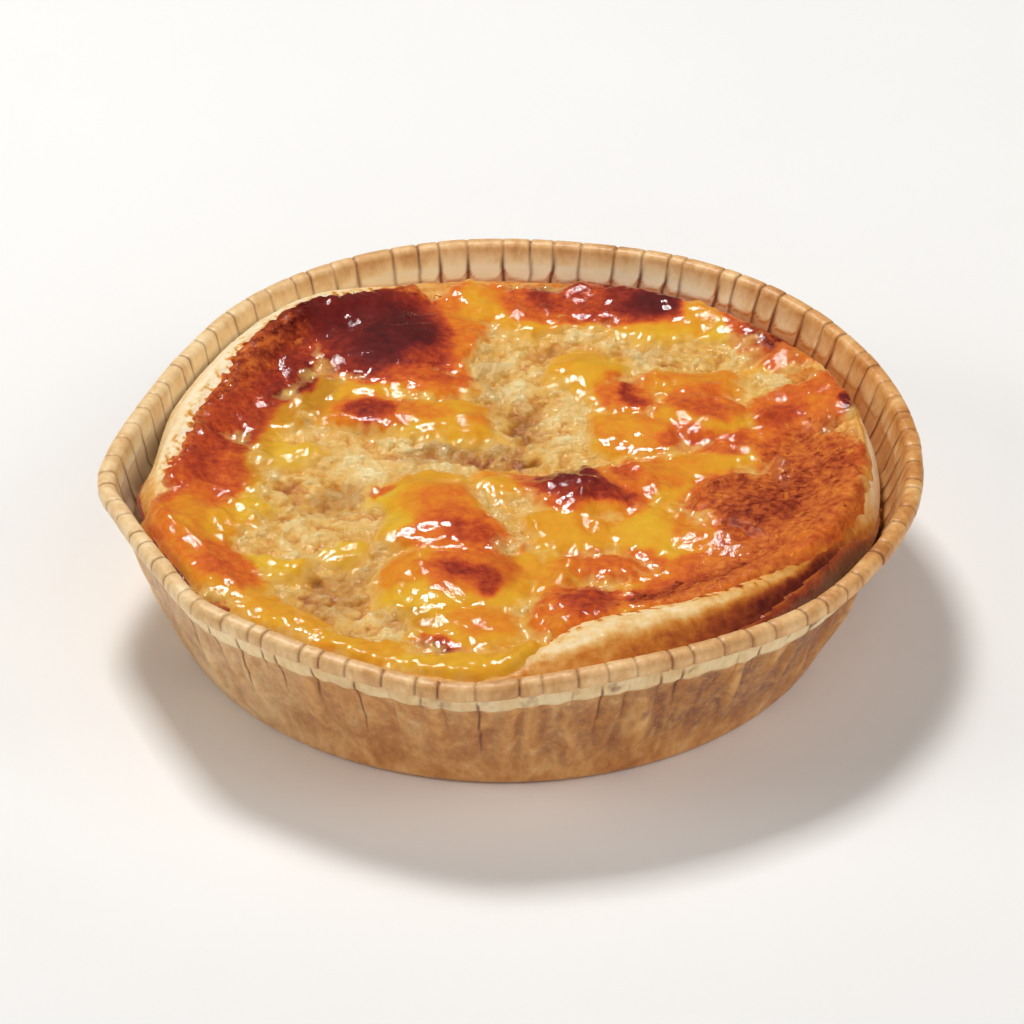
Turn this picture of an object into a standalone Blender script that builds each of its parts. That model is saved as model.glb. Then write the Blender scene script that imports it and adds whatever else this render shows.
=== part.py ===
"""A round quiche baked in a pleated paper case with a rolled rim.

Pieces: the paper case, the pastry crust, the pale savoury filling, and the
browned cheese that has melted over both and leaves windows on the filling.
The origin is the middle of the case's flat base; +Z is up, -Y is the front.
"""

import math
import random

import bmesh
import bpy
import numpy as np
from mathutils import Vector, noise

MM = 0.001

# Paper case.
BASE_RADIUS = 50.5 * MM  # of the flat base, out to the turn of the wall
BASE_TURN = 1.8 * MM  # radius of that turn
PAPER = 0.6 * MM  # thickness of the pleated, doubled paper
ROLL_RADIUS = 1.4 * MM  # of the rolled rim
ROLL_RISE = 25.1 * MM  # height of the roll's middle
ROLL_MEAN = 60.4 * MM  # mean radius of the roll's middle
PLEATS = 84
PLEAT_DEPTH = 0.45 * MM
CREASE_DEPTH = 0.22 * MM  # how far a crease pinches the roll

# Radius of the roll's middle round the case, in mm. The left side is pinched in.
ROLL_OUTLINE = (
    (0, 61.4), (25, 61.5), (42, 62.0), (58, 61.8), (78, 61.5), (100, 61.7), (118, 60.7),
    (135, 58.8), (150, 56.5), (166, 56.2), (179, 58.4), (187, 59.9), (198, 58.7), (212, 58.7),
    (222, 60.4), (234, 60.0), (250, 60.5), (264, 61.7), (276, 60.2), (300, 59.7), (318, 61.0),
    (332, 61.1), (346, 61.6),
)
# How far the roll stands above or below its mean height, in mm.
ROLL_WAVE = (
    (0, 0.0), (30, 0.3), (58, 0.9), (80, 0.3), (110, 0.2), (140, 0.0), (160, -0.2), (188, -0.6),
    (215, 0.2), (245, 0.0), (265, -0.7), (285, 0.2), (320, -0.3), (342, 0.2),
)

# How far the wall swells outward between its foot and the roll, in mm.
WALL_SWELL = (
    (0, 0.7), (60, 0.4), (120, 0.3), (170, 0.8), (200, 1.7), (225, 1.2), (245, 0.3), (270, 0.2),
    (295, 0.5), (315, 1.2), (340, 1.2),
)

# Crust. Angle, crest radius, crest height, height where it meets the paper, gap to the paper, in mm.
CRUST_OUTLINE = (
    (0, 54.0, 26.0, 21.5, 1.4), (20, 54.6, 25.4, 21.5, 0.9), (40, 55.2, 24.0, 21.5, 0.2),
    (60, 55.2, 23.6, 21.0, 0.0), (90, 54.6, 23.2, 20.4, 0.0), (108, 53.6, 24.6, 21.0, 0.0),
    (125, 53.2, 27.0, 23.4, 0.0), (141, 51.6, 26.6, 23.6, 0.0), (163, 50.0, 25.6, 22.8, 0.0),
    (180, 51.2, 25.0, 22.0, 2.4), (195, 52.8, 24.4, 22.6, 1.2), (215, 54.6, 24.1, 23.2, 0.2),
    (240, 55.6, 24.2, 23.4, 0.0), (266, 55.4, 24.4, 23.2, 0.0), (286, 53.2, 26.0, 22.0, 0.0),
    (310, 52.8, 26.6, 21.4, 0.2), (330, 53.4, 26.6, 21.0, 0.7), (346, 53.8, 26.3, 21.0, 1.2),
)
CRUST_CLEARANCE = 0.35 * MM  # to the pleated paper
CRUST_FLOOR = 3.2 * MM
CRUST_LIP = 4.4 * MM  # from the crest in to where the filling starts
CREST_SLOPE = 9.0 * MM  # width of the rise from the filling to the crest
CUP_FLOOR_RADIUS = 46.0 * MM
CUP_FOOT = (49.4 * MM, 2.8 * MM)  # radius and height of the bevel under the crust's wall
CUP_UNDERSIDE_RADIUS = 47.7 * MM

# Filling.
FILLING_LEVEL = 22.5 * MM
PIECE_GAP = 0.3 * MM  # between pieces that touch
FILLING_GAP = 0.45 * MM  # to the crust at the top, where both are faceted
LUMP_SIZE = 6.5 * MM
LUMP_DEPTH = 1.1 * MM  # of the hollows between the lumps
FILLING_FLOOR_GAP = 0.8 * MM  # to the foot of the cup's sloped wall
FILLING_RINGS = 16
FILLING_STEPS = 64
# Hollows and swells of the top, in mm: x, y, spread, height.
SWELLS = (
    (-22, -36, 5, -1.6), (-25, -9, 4, -1.2), (-3, 3, 4, -1.0), (2, 14, 4, -0.9), (4, -1, 3, -1.2),
    (-9, -17, 8, 1.6), (-9, -35, 7, 1.0), (11, -10, 6, 1.2), (38, -18, 9, 1.6), (31, 13, 8, 1.2),
    (-10, 10, 8, 1.0), (-18, 32, 8, 1.4), (10, -41, 5, 1.2), (14, 24, 5, 0.8),
)

# Cheese patches that melt together, in mm: x, y, half length, half width, turn in degrees, rise.
CHEESE_PATCHES = (
    # left band and the browned back-left corner
    (-44, -24, 12, 6.5, 115, 1.3), (-40, -32, 9, 5.0, 120, 1.6), (-47, -12, 8, 6.0, 95, 1.4),
    (-45, -2, 10, 7.5, 90, 1.6), (-43, 10, 9, 7.5, 80, 1.6), (-39, 21, 11, 7.5, 65, 1.7),
    (-34, 32, 11, 8.5, 55, 1.8), (-27, 36, 13, 6.0, 120, 2.0), (-17, 33, 13, 10.0, 100, 2.6),
    (-7, 38, 12, 6.0, 95, 1.7), (-30, 20, 8, 3.5, 80, 1.3), (-38, 3, 11, 3.6, 85, 0.9),
    # slab left of the middle
    (-19, 12, 9, 7.0, 170, 2.0), (-7, 10, 11, 6.5, 0, 2.1), (-14, 19, 7, 4.5, 170, 1.3),
    (-32, 2, 6, 3.4, 10, 1.4), (-26, 1, 4, 2.2, 0, 1.0),
    # back strip
    (3, 46, 7, 6.5, 80, 1.6), (16, 45, 15, 6.0, 172, 2.0), (17, 37, 5, 2.2, 95, 1.1),
    (27, 38, 6, 4.6, 110, 1.4), (33, 43, 6, 4.0, 140, 1.3), (39, 35, 9, 5.0, 125, 1.7),
    (45, 26, 8, 5.0, 115, 1.7), (37, 29, 4, 3.2, 90, 1.2), (51, 20, 5, 3.0, 120, 1.2),
    # right of the middle
    (13, 25, 7, 6.0, 40, 1.9), (18, 17, 7, 5.0, 80, 2.0), (28, 20, 9, 5.5, 175, 2.0),
    (32, 12, 9, 7.5, 150, 2.3), (46, 13, 8, 6.5, 20, 2.1), (19, 5, 8, 5.2, 165, 2.2),
    (38, 4, 8, 5.0, 30, 2.0), (50, 4, 8, 4.5, 90, 1.4),
    # middle and right
    (4, -4, 10, 5.0, 5, 2.0), (12, -10, 9, 6.0, 155, 2.9), (10, -19, 9, 6.5, 160, 2.1),
    (5, -27, 5, 3.6, 30, 1.6), (22, -19, 8, 5.5, 80, 1.7), (23, -4, 9, 6.5, 10, 1.9),
    (33, -10, 9, 5.5, 35, 2.2), (40, -19, 14, 12.0, 45, 2.2), (47, -6, 12, 6.5, 95, 1.7),
    (30, -34, 16, 6.5, 25, 1.6), (16, -30, 7, 5.0, 170, 2.0), (12, -41, 9, 6.0, 55, 2.4),
    (7, -47, 5, 4.0, 60, 1.8),
    # the two front mounds
    (-9, -16, 11, 11.0, 0, 2.6), (-16, -20, 7, 6.0, 60, 1.9), (-18, -10, 4, 3.0, 150, 1.3),
    (-9, -34, 11, 8.0, 170, 2.3), (-5, -45, 8, 5.0, 170, 1.7),
    # left front
    (-37, -14, 7, 4.2, 15, 1.5), (-39, -20, 5, 4.0, 90, 1.2), (-32, -29, 6, 4.2, 15, 1.5),
    (-22, -25, 5, 3.2, 80, 1.5), (-29, -43, 8, 4.4, 155, 1.6), (-18, -50, 10, 4.6, 165, 1.5),
    (-3, -54, 11, 3.8, 178, 1.4),
)
CHEESE_EDGE = 0.5 * MM  # thickness at the cheese's rim
CHEESE_BLEND = 6  # higher keeps the creases between patches sharper
CHEESE_PAPER_GAP = 1.1 * MM
CHEESE_PAPER_SLOPE = 0.5  # how steeply the cheese thins towards the paper
CHEESE_OVER_CRUST = 0.55 * MM  # the crust's facets are wider, so it keeps more clearance
BULGE_SPARED = 0.35 * MM  # a bulge higher than this between points lifts the underside
GRID = 3.1 * MM  # spacing of the cheese's points
SMALLEST_SCRAP = 30  # faces; a smaller loose island of cheese is dropped
HALF_SPAN = 20  # grid cells from the middle to the edge

# The crust and the filling are turned with a flat top, which is then laid on the core.
FLAT_TOP = 25.0 * MM  # height of that flat top
FLAT_TOP_RADIUS = 50.0 * MM  # of the filling's, where the crust's begins
CRUST_TOP_STEPS = 6
CRUST_TOP_WIDTH = 6.0 * MM

CASE_STEPS = 2 * PLEATS
CRUST_STEPS = 84
SEED = 7


def closed_curve(knots, degrees, column=1):
    """The value at each angle on a smooth closed curve through (angle, value, ...) knots."""
    angle = np.array([k[0] for k in knots], float)
    value = np.array([k[column] for k in knots], float)
    angle = np.concatenate([angle[-3:] - 360, angle, angle[:3] + 360])
    value = np.concatenate([value[-3:], value, value[:3]])
    slope = np.gradient(value, angle)
    at = np.mod(degrees, 360.0)
    i = np.searchsorted(angle, at, side="right") - 1
    span = angle[i + 1] - angle[i]
    t = (at - angle[i]) / span
    rise = value[i + 1] - value[i]
    ease = t * t * (3 - 2 * t)
    bow = t * (1 - t) * ((1 - t) * (slope[i] * span) - t * (slope[i + 1] * span))
    return value[i] + ease * rise + bow


def smooth(t):
    """0 below 0, 1 above 1, and an S-curve between."""
    t = np.clip(t, 0.0, 1.0)
    return t * t * (3 - 2 * t)


def wall_swell(degrees, climb):
    """How far the wall bulges at a share of its height."""
    return closed_curve(WALL_SWELL, degrees) * MM * np.sin(math.pi * climb**0.75)


def paper_inside(degrees, height):
    """Radius of the case's inner wall, pleats aside."""
    foot = BASE_RADIUS - PAPER
    top = closed_curve(ROLL_OUTLINE, degrees) * MM - ROLL_RADIUS
    climb = np.clip((height - PAPER - BASE_TURN) / (ROLL_RISE - PAPER - BASE_TURN), 0.0, 1.0)
    return foot + (top - foot) * climb + wall_swell(degrees, climb)


def crust_edge(degrees):
    """Radius and height of the crust's outer top edge."""
    height = closed_curve(CRUST_OUTLINE, degrees, 3) * MM
    gap = np.maximum(closed_curve(CRUST_OUTLINE, degrees, 4), 0.0) * MM
    radius = paper_inside(degrees, height) - PLEAT_DEPTH - CRUST_CLEARANCE - gap
    return radius, height


def top_of_core(x, y):
    """Height of the bare top, crust and filling together, under the cheese."""
    degrees = np.degrees(np.arctan2(y, x))
    r = np.hypot(x, y)
    level = np.full_like(r, FILLING_LEVEL)
    for sx, sy, spread, height in SWELLS:
        away = ((x - sx * MM) ** 2 + (y - sy * MM) ** 2) / (spread * MM) ** 2
        level = level + height * MM * np.exp(-away / 2)
    crest = closed_curve(CRUST_OUTLINE, degrees, 1) * MM
    crest_height = closed_curve(CRUST_OUTLINE, degrees, 2) * MM
    edge, edge_height = crust_edge(degrees)
    rise = smooth((r - crest + CREST_SLOPE) / CREST_SLOPE)
    inside = level + (crest_height - level) * rise
    fall = np.clip((r - crest) / np.maximum(edge - crest, MM), 0.0, 1.5)
    outside = crest_height + (edge_height - crest_height) * fall**1.5
    return np.where(r > crest, outside, inside)


def cheese_rise(x, y):
    """How far the cheese stands above the core; negative where there is none."""
    total = np.zeros_like(x)
    nearest = np.full_like(x, -1e3)
    for px, py, long_half, short_half, turn, rise in CHEESE_PATCHES:
        c, s = math.cos(math.radians(turn)), math.sin(math.radians(turn))
        dx, dy = x / MM - px, y / MM - py
        u = (dx * c + dy * s) / long_half
        v = (dy * c - dx * s) / short_half
        inside = 1 - (u * u + v * v)
        total += np.maximum(inside, 0.0) ** (CHEESE_BLEND / 2) * rise**CHEESE_BLEND
        nearest = np.maximum(nearest, inside * rise)
    rise = np.where(nearest > 0, total ** (1 / CHEESE_BLEND), np.maximum(nearest, -2.0)) * MM
    degrees = np.degrees(np.arctan2(y, x))
    room = paper_inside(degrees, FILLING_LEVEL) - CHEESE_PAPER_GAP - np.hypot(x, y)
    return np.minimum(rise, room * CHEESE_PAPER_SLOPE)


def lumps(x, y):
    """Relief of the filling where no cheese covers it: hollows between rounded lumps."""
    cells = np.array([
        noise.voronoi(Vector((a / LUMP_SIZE, b / LUMP_SIZE, 0.0)))[0][0]
        for a, b in zip(x, y)
    ])
    bare = smooth(-cheese_rise(x, y) / MM + 0.2)
    return -(cells**1.5) * LUMP_DEPTH * bare


def read_points(bm):
    """The x, y and z of a bmesh's vertices, as arrays."""
    return np.array([v.co for v in bm.verts]).T


def new_object(name, bm, material):
    mesh = bpy.data.meshes.new(name)
    bmesh.ops.recalc_face_normals(bm, faces=bm.faces[:])
    bm.to_mesh(mesh)
    bm.free()
    mesh.materials.append(material)
    mesh.shade_smooth()
    mesh.set_sharp_from_angle(angle=math.radians(35))
    obj = bpy.data.objects.new(name, mesh)
    bpy.data.collections["quiche"].objects.link(obj)
    return obj


def make_material(name, colour, roughness):
    material = bpy.data.materials.new(name)
    material.use_nodes = True
    shader = material.node_tree.nodes["Principled BSDF"]
    shader.inputs["Base Color"].default_value = (*colour, 1.0)
    shader.inputs["Roughness"].default_value = roughness
    shader.inputs["Metallic"].default_value = 0.0
    return material


def turned(profile, steps):
    """A bmesh of a profile of (radius, height) points turned once round Z by a Screw modifier."""
    mesh = bpy.data.meshes.new("profile")
    points = [(r, 0.0, z) for r, z in profile]
    mesh.from_pydata(points, [(i, i + 1) for i in range(len(points) - 1)], [])
    obj = bpy.data.objects.new("profile", mesh)
    bpy.context.scene.collection.objects.link(obj)
    screw = obj.modifiers.new("Screw", "SCREW")
    screw.steps = screw.render_steps = steps
    screw.use_merge_vertices = True
    screw.merge_threshold = 0.00001
    bpy.context.view_layer.update()
    result = bpy.data.meshes.new_from_object(
        obj.evaluated_get(bpy.context.evaluated_depsgraph_get())
    )
    bpy.data.objects.remove(obj)
    bm = bmesh.new()
    bm.from_mesh(result)
    return bm


def case_profile():
    """Up the inner wall, over the roll and down the outer wall, at the mean radius."""
    roll = [
        (ROLL_MEAN + ROLL_RADIUS * math.cos(a), ROLL_RISE + ROLL_RADIUS * math.sin(a))
        for a in map(math.radians, (165, 110, 55, 0, -65))
    ]
    half_out, half_up = (BASE_RADIUS + ROLL_MEAN - ROLL_RADIUS) / 2, ROLL_RISE / 2
    return (
        (0.0, PAPER),
        (BASE_RADIUS - PAPER - BASE_TURN, PAPER),
        (BASE_RADIUS - PAPER, PAPER + BASE_TURN),
        (half_out - PAPER, half_up),
        *roll,
        (ROLL_MEAN - ROLL_RADIUS + PAPER, ROLL_RISE - 1.3 * ROLL_RADIUS),
        (half_out, half_up),
        (BASE_RADIUS, BASE_TURN),
        (BASE_RADIUS - 0.3 * BASE_TURN, 0.3 * BASE_TURN),
        (BASE_RADIUS - BASE_TURN, 0.0),
        (0.0, 0.0),
    )


def make_case(material):
    """Every second step of the turning is the fold of a pleat, which also pinches the roll."""
    bm = turned(case_profile(), CASE_STEPS)
    draw = random.Random(SEED)
    depth = [draw.uniform(0.55, 1.0) for _ in range(PLEATS)]
    for v in bm.verts:
        r = math.hypot(v.co.x, v.co.y)
        if r < BASE_RADIUS - PAPER - BASE_TURN:
            continue
        turn = math.atan2(v.co.y, v.co.x)
        step = round(turn / math.tau * CASE_STEPS) % CASE_STEPS
        degrees = step * 360 / CASE_STEPS
        climb = v.co.z / ROLL_RISE
        fold = depth[step // 2] if step % 2 else 0.0
        out, up = r - ROLL_MEAN, v.co.z - ROLL_RISE
        if math.hypot(out, up) < 1.02 * ROLL_RADIUS:
            pinch = 1 - fold * CREASE_DEPTH / ROLL_RADIUS
            r, z = ROLL_MEAN + out * pinch, ROLL_RISE + up * pinch
        else:
            z = v.co.z
            r -= fold * PLEAT_DEPTH * climb
        shift = float(closed_curve(ROLL_OUTLINE, degrees)) * MM - ROLL_MEAN
        r += shift * min(climb, 1.0) + float(wall_swell(degrees, min(climb, 1.0)))
        z += float(closed_curve(ROLL_WAVE, degrees)) * MM * min(climb, 1.0) ** 2
        v.co = (r * math.cos(turn), r * math.sin(turn), z)
    return new_object("paper_case", bm, material)


def crust_profile():
    """The mean section: cup floor, inner wall, top in seven points, outer wall and underside."""
    floor = PAPER + PIECE_GAP
    step = CRUST_TOP_WIDTH / CRUST_TOP_STEPS
    return (
        (0.0, floor + CRUST_FLOOR),
        (CUP_FLOOR_RADIUS, floor + CRUST_FLOOR),
        *((FLAT_TOP_RADIUS + i * step, FLAT_TOP) for i in range(CRUST_TOP_STEPS + 1)),
        CUP_FOOT,
        (CUP_UNDERSIDE_RADIUS, floor),
        (0.0, floor),
    )


def make_crust(material):
    """The turned section, with its top laid on the core's surface."""
    bm = turned(crust_profile(), CRUST_STEPS)
    for v in bm.verts:
        if v.co.z < FLAT_TOP / 2:
            continue
        turn = math.atan2(v.co.y, v.co.x)
        degrees = math.degrees(turn)
        place = (math.hypot(v.co.x, v.co.y) - FLAT_TOP_RADIUS) / CRUST_TOP_WIDTH
        crest = float(closed_curve(CRUST_OUTLINE, degrees)) * MM
        edge = float(crust_edge(degrees)[0])
        lip = crest - CRUST_LIP
        r = float(np.interp(place, (0.0, 0.6, 1.0), (lip, crest, edge)))
        x, y = r * math.cos(turn), r * math.sin(turn)
        v.co = (x, y, float(top_of_core(np.array([x]), np.array([y]))[0]))
    return new_object("crust", bm, material)


def filling_profile():
    """The top in rings from the middle out, the sloped side and the underside, on a unit top."""
    floor = PAPER + 2 * PIECE_GAP + CRUST_FLOOR
    rings = ((FLAT_TOP_RADIUS * i / FILLING_RINGS, FLAT_TOP) for i in range(FILLING_RINGS + 1))
    return (*rings, (CUP_FLOOR_RADIUS - FILLING_FLOOR_GAP, floor), (0.0, floor))


def make_filling(material):
    """The turned section, its top laid on the core with lumps where it is bare."""
    bm = turned(filling_profile(), FILLING_STEPS)
    for v in bm.verts:
        if v.co.z < FLAT_TOP / 2:
            continue
        turn = math.atan2(v.co.y, v.co.x)
        degrees = math.degrees(turn)
        lip = float(closed_curve(CRUST_OUTLINE, degrees)) * MM - CRUST_LIP
        r = math.hypot(v.co.x, v.co.y) / FLAT_TOP_RADIUS * (lip - FILLING_GAP)
        x, y = np.array([r * math.cos(turn)]), np.array([r * math.sin(turn)])
        v.co = (x[0], y[0], (top_of_core(x, y) + lumps(x, y))[0])
    return new_object("filling", bm, material)


def flat_grid():
    """A bmesh of a square grid, split into triangles all one way."""
    bm = bmesh.new()
    cells = 2 * HALF_SPAN
    bmesh.ops.create_grid(bm, x_segments=cells, y_segments=cells, size=HALF_SPAN * GRID)
    bmesh.ops.triangulate(bm, faces=bm.faces[:], quad_method="FIXED")
    return bm


def drop_pinches(bm):
    """Removes faces until no parts of the sheet meet in just a point, and no edge has three faces."""
    while True:
        bad = {f for e in bm.edges if len(e.link_faces) > 2 for f in e.link_faces}
        for v in bm.verts:
            if sum(len(e.link_faces) == 1 for e in v.link_edges) > 2:
                bad.update(v.link_faces)
        if not bad:
            break
        bmesh.ops.delete(bm, geom=list(bad), context="FACES")
    loose = [v for v in bm.verts if not v.link_faces]
    bmesh.ops.delete(bm, geom=loose, context="VERTS")


def islands(bm):
    """The bmesh's faces in connected groups, largest first."""
    left, groups = set(bm.faces), []
    while left:
        group, queue = [], [left.pop()]
        while queue:
            face = queue.pop()
            group.append(face)
            for edge in face.edges:
                for other in edge.link_faces:
                    if other in left:
                        left.remove(other)
                        queue.append(other)
        groups.append(group)
    return sorted(groups, key=len, reverse=True)


def make_cheese(material):
    """Sheets that stand on the core where cheese_rise is positive.

    The grid is first lifted by the rise itself, so that a flat cut leaves exactly the
    outline of the cheese, and then laid on the core as an underside and a top.
    """
    bm = flat_grid()
    x, y, _ = read_points(bm)
    for v, rise in zip(bm.verts, cheese_rise(x, y)):
        v.co.z = rise
    bmesh.ops.bisect_plane(
        bm,
        geom=bm.verts[:] + bm.edges[:] + bm.faces[:],
        plane_co=(0, 0, CHEESE_EDGE),
        plane_no=(0, 0, 1),
        clear_inner=True,
    )
    bmesh.ops.remove_doubles(bm, verts=bm.verts[:], dist=0.1 * MM)
    drop_pinches(bm)
    for group in islands(bm):
        if len(group) < SMALLEST_SCRAP:
            bmesh.ops.delete(bm, geom=group, context="FACES")
    pieces = []
    for number, group in enumerate(islands(bm)):
        pieces.append(lay_cheese(bm, group, number, material))
    bm.free()
    return pieces


def lay_cheese(flat, faces, number, material):
    """One connected sheet of cheese, laid on the core and closed."""
    bm = bmesh.new()
    copies = {}
    for face in faces:
        for v in face.verts:
            if v not in copies:
                copies[v] = bm.verts.new(v.co)
        bm.faces.new([copies[v] for v in face.verts])
    bmesh.ops.recalc_face_normals(bm, faces=bm.faces[:])
    x, y, rise = read_points(bm)
    core = top_of_core(x, y)
    degrees = np.degrees(np.arctan2(y, x))
    lip = closed_curve(CRUST_OUTLINE, degrees) * MM - CRUST_LIP
    over_crust = smooth((np.hypot(x, y) - lip + GRID) / GRID)
    lift = PIECE_GAP + (CHEESE_OVER_CRUST - PIECE_GAP) * over_crust
    bulge = np.max([
        top_of_core(x + GRID / 2 * math.cos(a), y + GRID / 2 * math.sin(a))
        for a in np.linspace(0, math.tau, 9)[:8]
    ], axis=0)
    under = np.maximum(core, bulge - BULGE_SPARED) + lift
    top = dict(zip(bm.verts, np.maximum(core + lift + rise, under + CHEESE_EDGE)))
    base = list(zip(bm.verts, under))
    made = bmesh.ops.extrude_face_region(bm, geom=bm.faces[:], use_keep_orig=True)
    lowest = {(round(v.co.x, 7), round(v.co.y, 7)): z for v, z in base}
    for item in made["geom"]:
        if isinstance(item, bmesh.types.BMVert):
            item.co.z = lowest[(round(item.co.x, 7), round(item.co.y, 7))]
    for v, z in top.items():
        v.co.z = z
    name = "cheese" if number == 0 else f"cheese_patch_{number}"
    return new_object(name, bm, material)


def clear_scene():
    for obj in list(bpy.data.objects):
        bpy.data.objects.remove(obj)


def main():
    clear_scene()
    collection = bpy.data.collections.new("quiche")
    bpy.context.scene.collection.children.link(collection)
    paper = make_material("baking_paper", (0.78, 0.58, 0.34), 0.6)
    pastry = make_material("pastry", (0.80, 0.58, 0.33), 0.7)
    filling = make_material("filling", (0.82, 0.62, 0.40), 0.35)
    cheese = make_material("browned_cheese", (0.86, 0.42, 0.06), 0.15)
    make_case(paper)
    make_crust(pastry)
    make_filling(filling)
    make_cheese(cheese)


main()
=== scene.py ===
"""The looks of a quiche in its pleated paper case.

The paper case, the pastry crust, the lumpy filling and the browned cheese that has melted over both
are made from the sizes of the solids they replace, on a much finer mesh. The dark juice between crust
and paper and the loose flakes are made here alone. Lengths are in millimetres until a mesh is made,
and angles in degrees, anticlockwise from +X as seen from above.
"""

import math

import bpy
import numpy as np
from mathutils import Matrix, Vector


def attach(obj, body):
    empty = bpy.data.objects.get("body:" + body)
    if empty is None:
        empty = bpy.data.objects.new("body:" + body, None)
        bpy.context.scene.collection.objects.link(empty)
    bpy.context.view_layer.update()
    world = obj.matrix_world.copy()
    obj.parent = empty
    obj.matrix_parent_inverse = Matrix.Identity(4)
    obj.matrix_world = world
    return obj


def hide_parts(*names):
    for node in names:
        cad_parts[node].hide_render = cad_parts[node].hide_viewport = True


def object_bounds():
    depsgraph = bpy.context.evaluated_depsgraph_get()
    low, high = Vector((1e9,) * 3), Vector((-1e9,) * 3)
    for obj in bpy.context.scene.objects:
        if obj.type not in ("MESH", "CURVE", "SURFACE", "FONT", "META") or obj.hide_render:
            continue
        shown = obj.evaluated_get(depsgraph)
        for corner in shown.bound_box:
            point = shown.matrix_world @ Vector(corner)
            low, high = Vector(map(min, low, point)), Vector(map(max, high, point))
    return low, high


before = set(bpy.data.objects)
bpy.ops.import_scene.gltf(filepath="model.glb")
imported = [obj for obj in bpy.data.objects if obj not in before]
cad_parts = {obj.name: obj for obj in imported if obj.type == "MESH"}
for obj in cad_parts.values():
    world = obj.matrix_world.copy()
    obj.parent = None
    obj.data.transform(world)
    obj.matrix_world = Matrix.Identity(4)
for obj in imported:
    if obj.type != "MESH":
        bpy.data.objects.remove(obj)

CAD_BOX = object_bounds()
MM = 0.001

# ---------------------------------------------------------------- sizes shared with the solids

BASE_RADIUS = 50.5
BASE_TURN = 1.8
PAPER = 0.6
ROLL_RADIUS = 1.4
ROLL_RISE = 25.1
PLEATS = 84

# Angle and radius of the roll's middle.
ROLL_OUTLINE = (
    (0, 61.4), (25, 61.5), (42, 62), (58, 61.8), (78, 61.5), (100, 61.7), (118, 60.7), (135, 58.8),
    (150, 56.5), (166, 56.2), (179, 58.4), (187, 59.9), (198, 58.7), (212, 58.7), (222, 60.4), (234, 60),
    (250, 60.5), (264, 61.7), (276, 60.2), (300, 59.7), (318, 61), (332, 61.1), (346, 61.6),
)
# Angle and how far the roll stands above its mean height.
ROLL_WAVE = (
    (0, 0), (30, 0.3), (58, 0.9), (80, 0.3), (110, 0.2), (140, 0), (160, -0.2), (188, -0.6), (215, 0.2),
    (245, 0), (265, -0.7), (285, 0.2), (320, -0.3), (342, 0.2),
)
# Angle and how far the wall swells outward between its foot and the roll.
WALL_SWELL = (
    (0, 0.7), (60, 0.4), (120, 0.3), (170, 0.8), (200, 1.7), (225, 1.2), (245, 0.3), (270, 0.2), (295, 0.5),
    (315, 1.2), (340, 1.2),
)
# Angle, crest radius, crest height, height where the crust meets the paper, gap to the paper.
CREST, CREST_HEIGHT, EDGE_HEIGHT, EDGE_GAP = 1, 2, 3, 4
CRUST_OUTLINE = (
    (0, 54, 26, 21.5, 1.4), (20, 54.6, 25.4, 21.5, 0.9), (40, 55.2, 24, 21.5, 0.2), (60, 55.2, 23.6, 21, 0),
    (90, 54.6, 23.2, 20.4, 0), (108, 53.6, 24.6, 21, 0), (125, 53.2, 27, 23.4, 0),
    (141, 51.6, 26.6, 23.6, 0), (163, 50, 25.6, 22.8, 0), (180, 51.2, 25, 22, 2.4),
    (195, 52.8, 24.4, 22.6, 1.2), (215, 54.6, 24.1, 23.2, 0.2), (240, 55.6, 24.2, 23.9, 0),
    (266, 55.4, 24.3, 23.8, 0), (286, 50, 26, 22, 0), (310, 51.2, 26.6, 21.4, 0.2),
    (330, 53.4, 26.6, 21, 0.7), (346, 53.8, 26.3, 21, 1.2),
)
ROLL_SQUARENESS = 0.8  # 1 is round, and less has flatter sides
PLEAT_DEPTH = 0.45
SOLID_GAP = 0.3  # between one solid and the next
CRUST_CLEARANCE = 0.35
CRUST_FLOOR = 3.2
CRUST_FLOOR_RADIUS = 40.0
CRUST_FOOT_RADIUS = 47.6
CRUST_TURN = (49.2, 2.8)  # radius and height where the foot turns into the wall
CRUST_LIP = 4.4
CREST_SLOPE = 9.0
FILLING_LEVEL = 22.5
FILLING_TAPER = 0.88
# Hollows and swells of the top: x, y, spread, height.
SWELLS = (
    (-22, -36, 5, -1.6), (-25, -9, 4, -1.2), (-3, 3, 4, -1), (2, 14, 4, -0.9), (4, -1, 3, -1.2),
    (-9, -17, 8, 1.6), (-9, -35, 7, 1), (11, -10, 6, 1.2), (38, -18, 9, 1.6), (31, 13, 8, 1.2),
    (-10, 10, 8, 1), (-18, 32, 8, 1.4), (10, -41, 5, 1.2), (14, 24, 5, 0.8),
)
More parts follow.
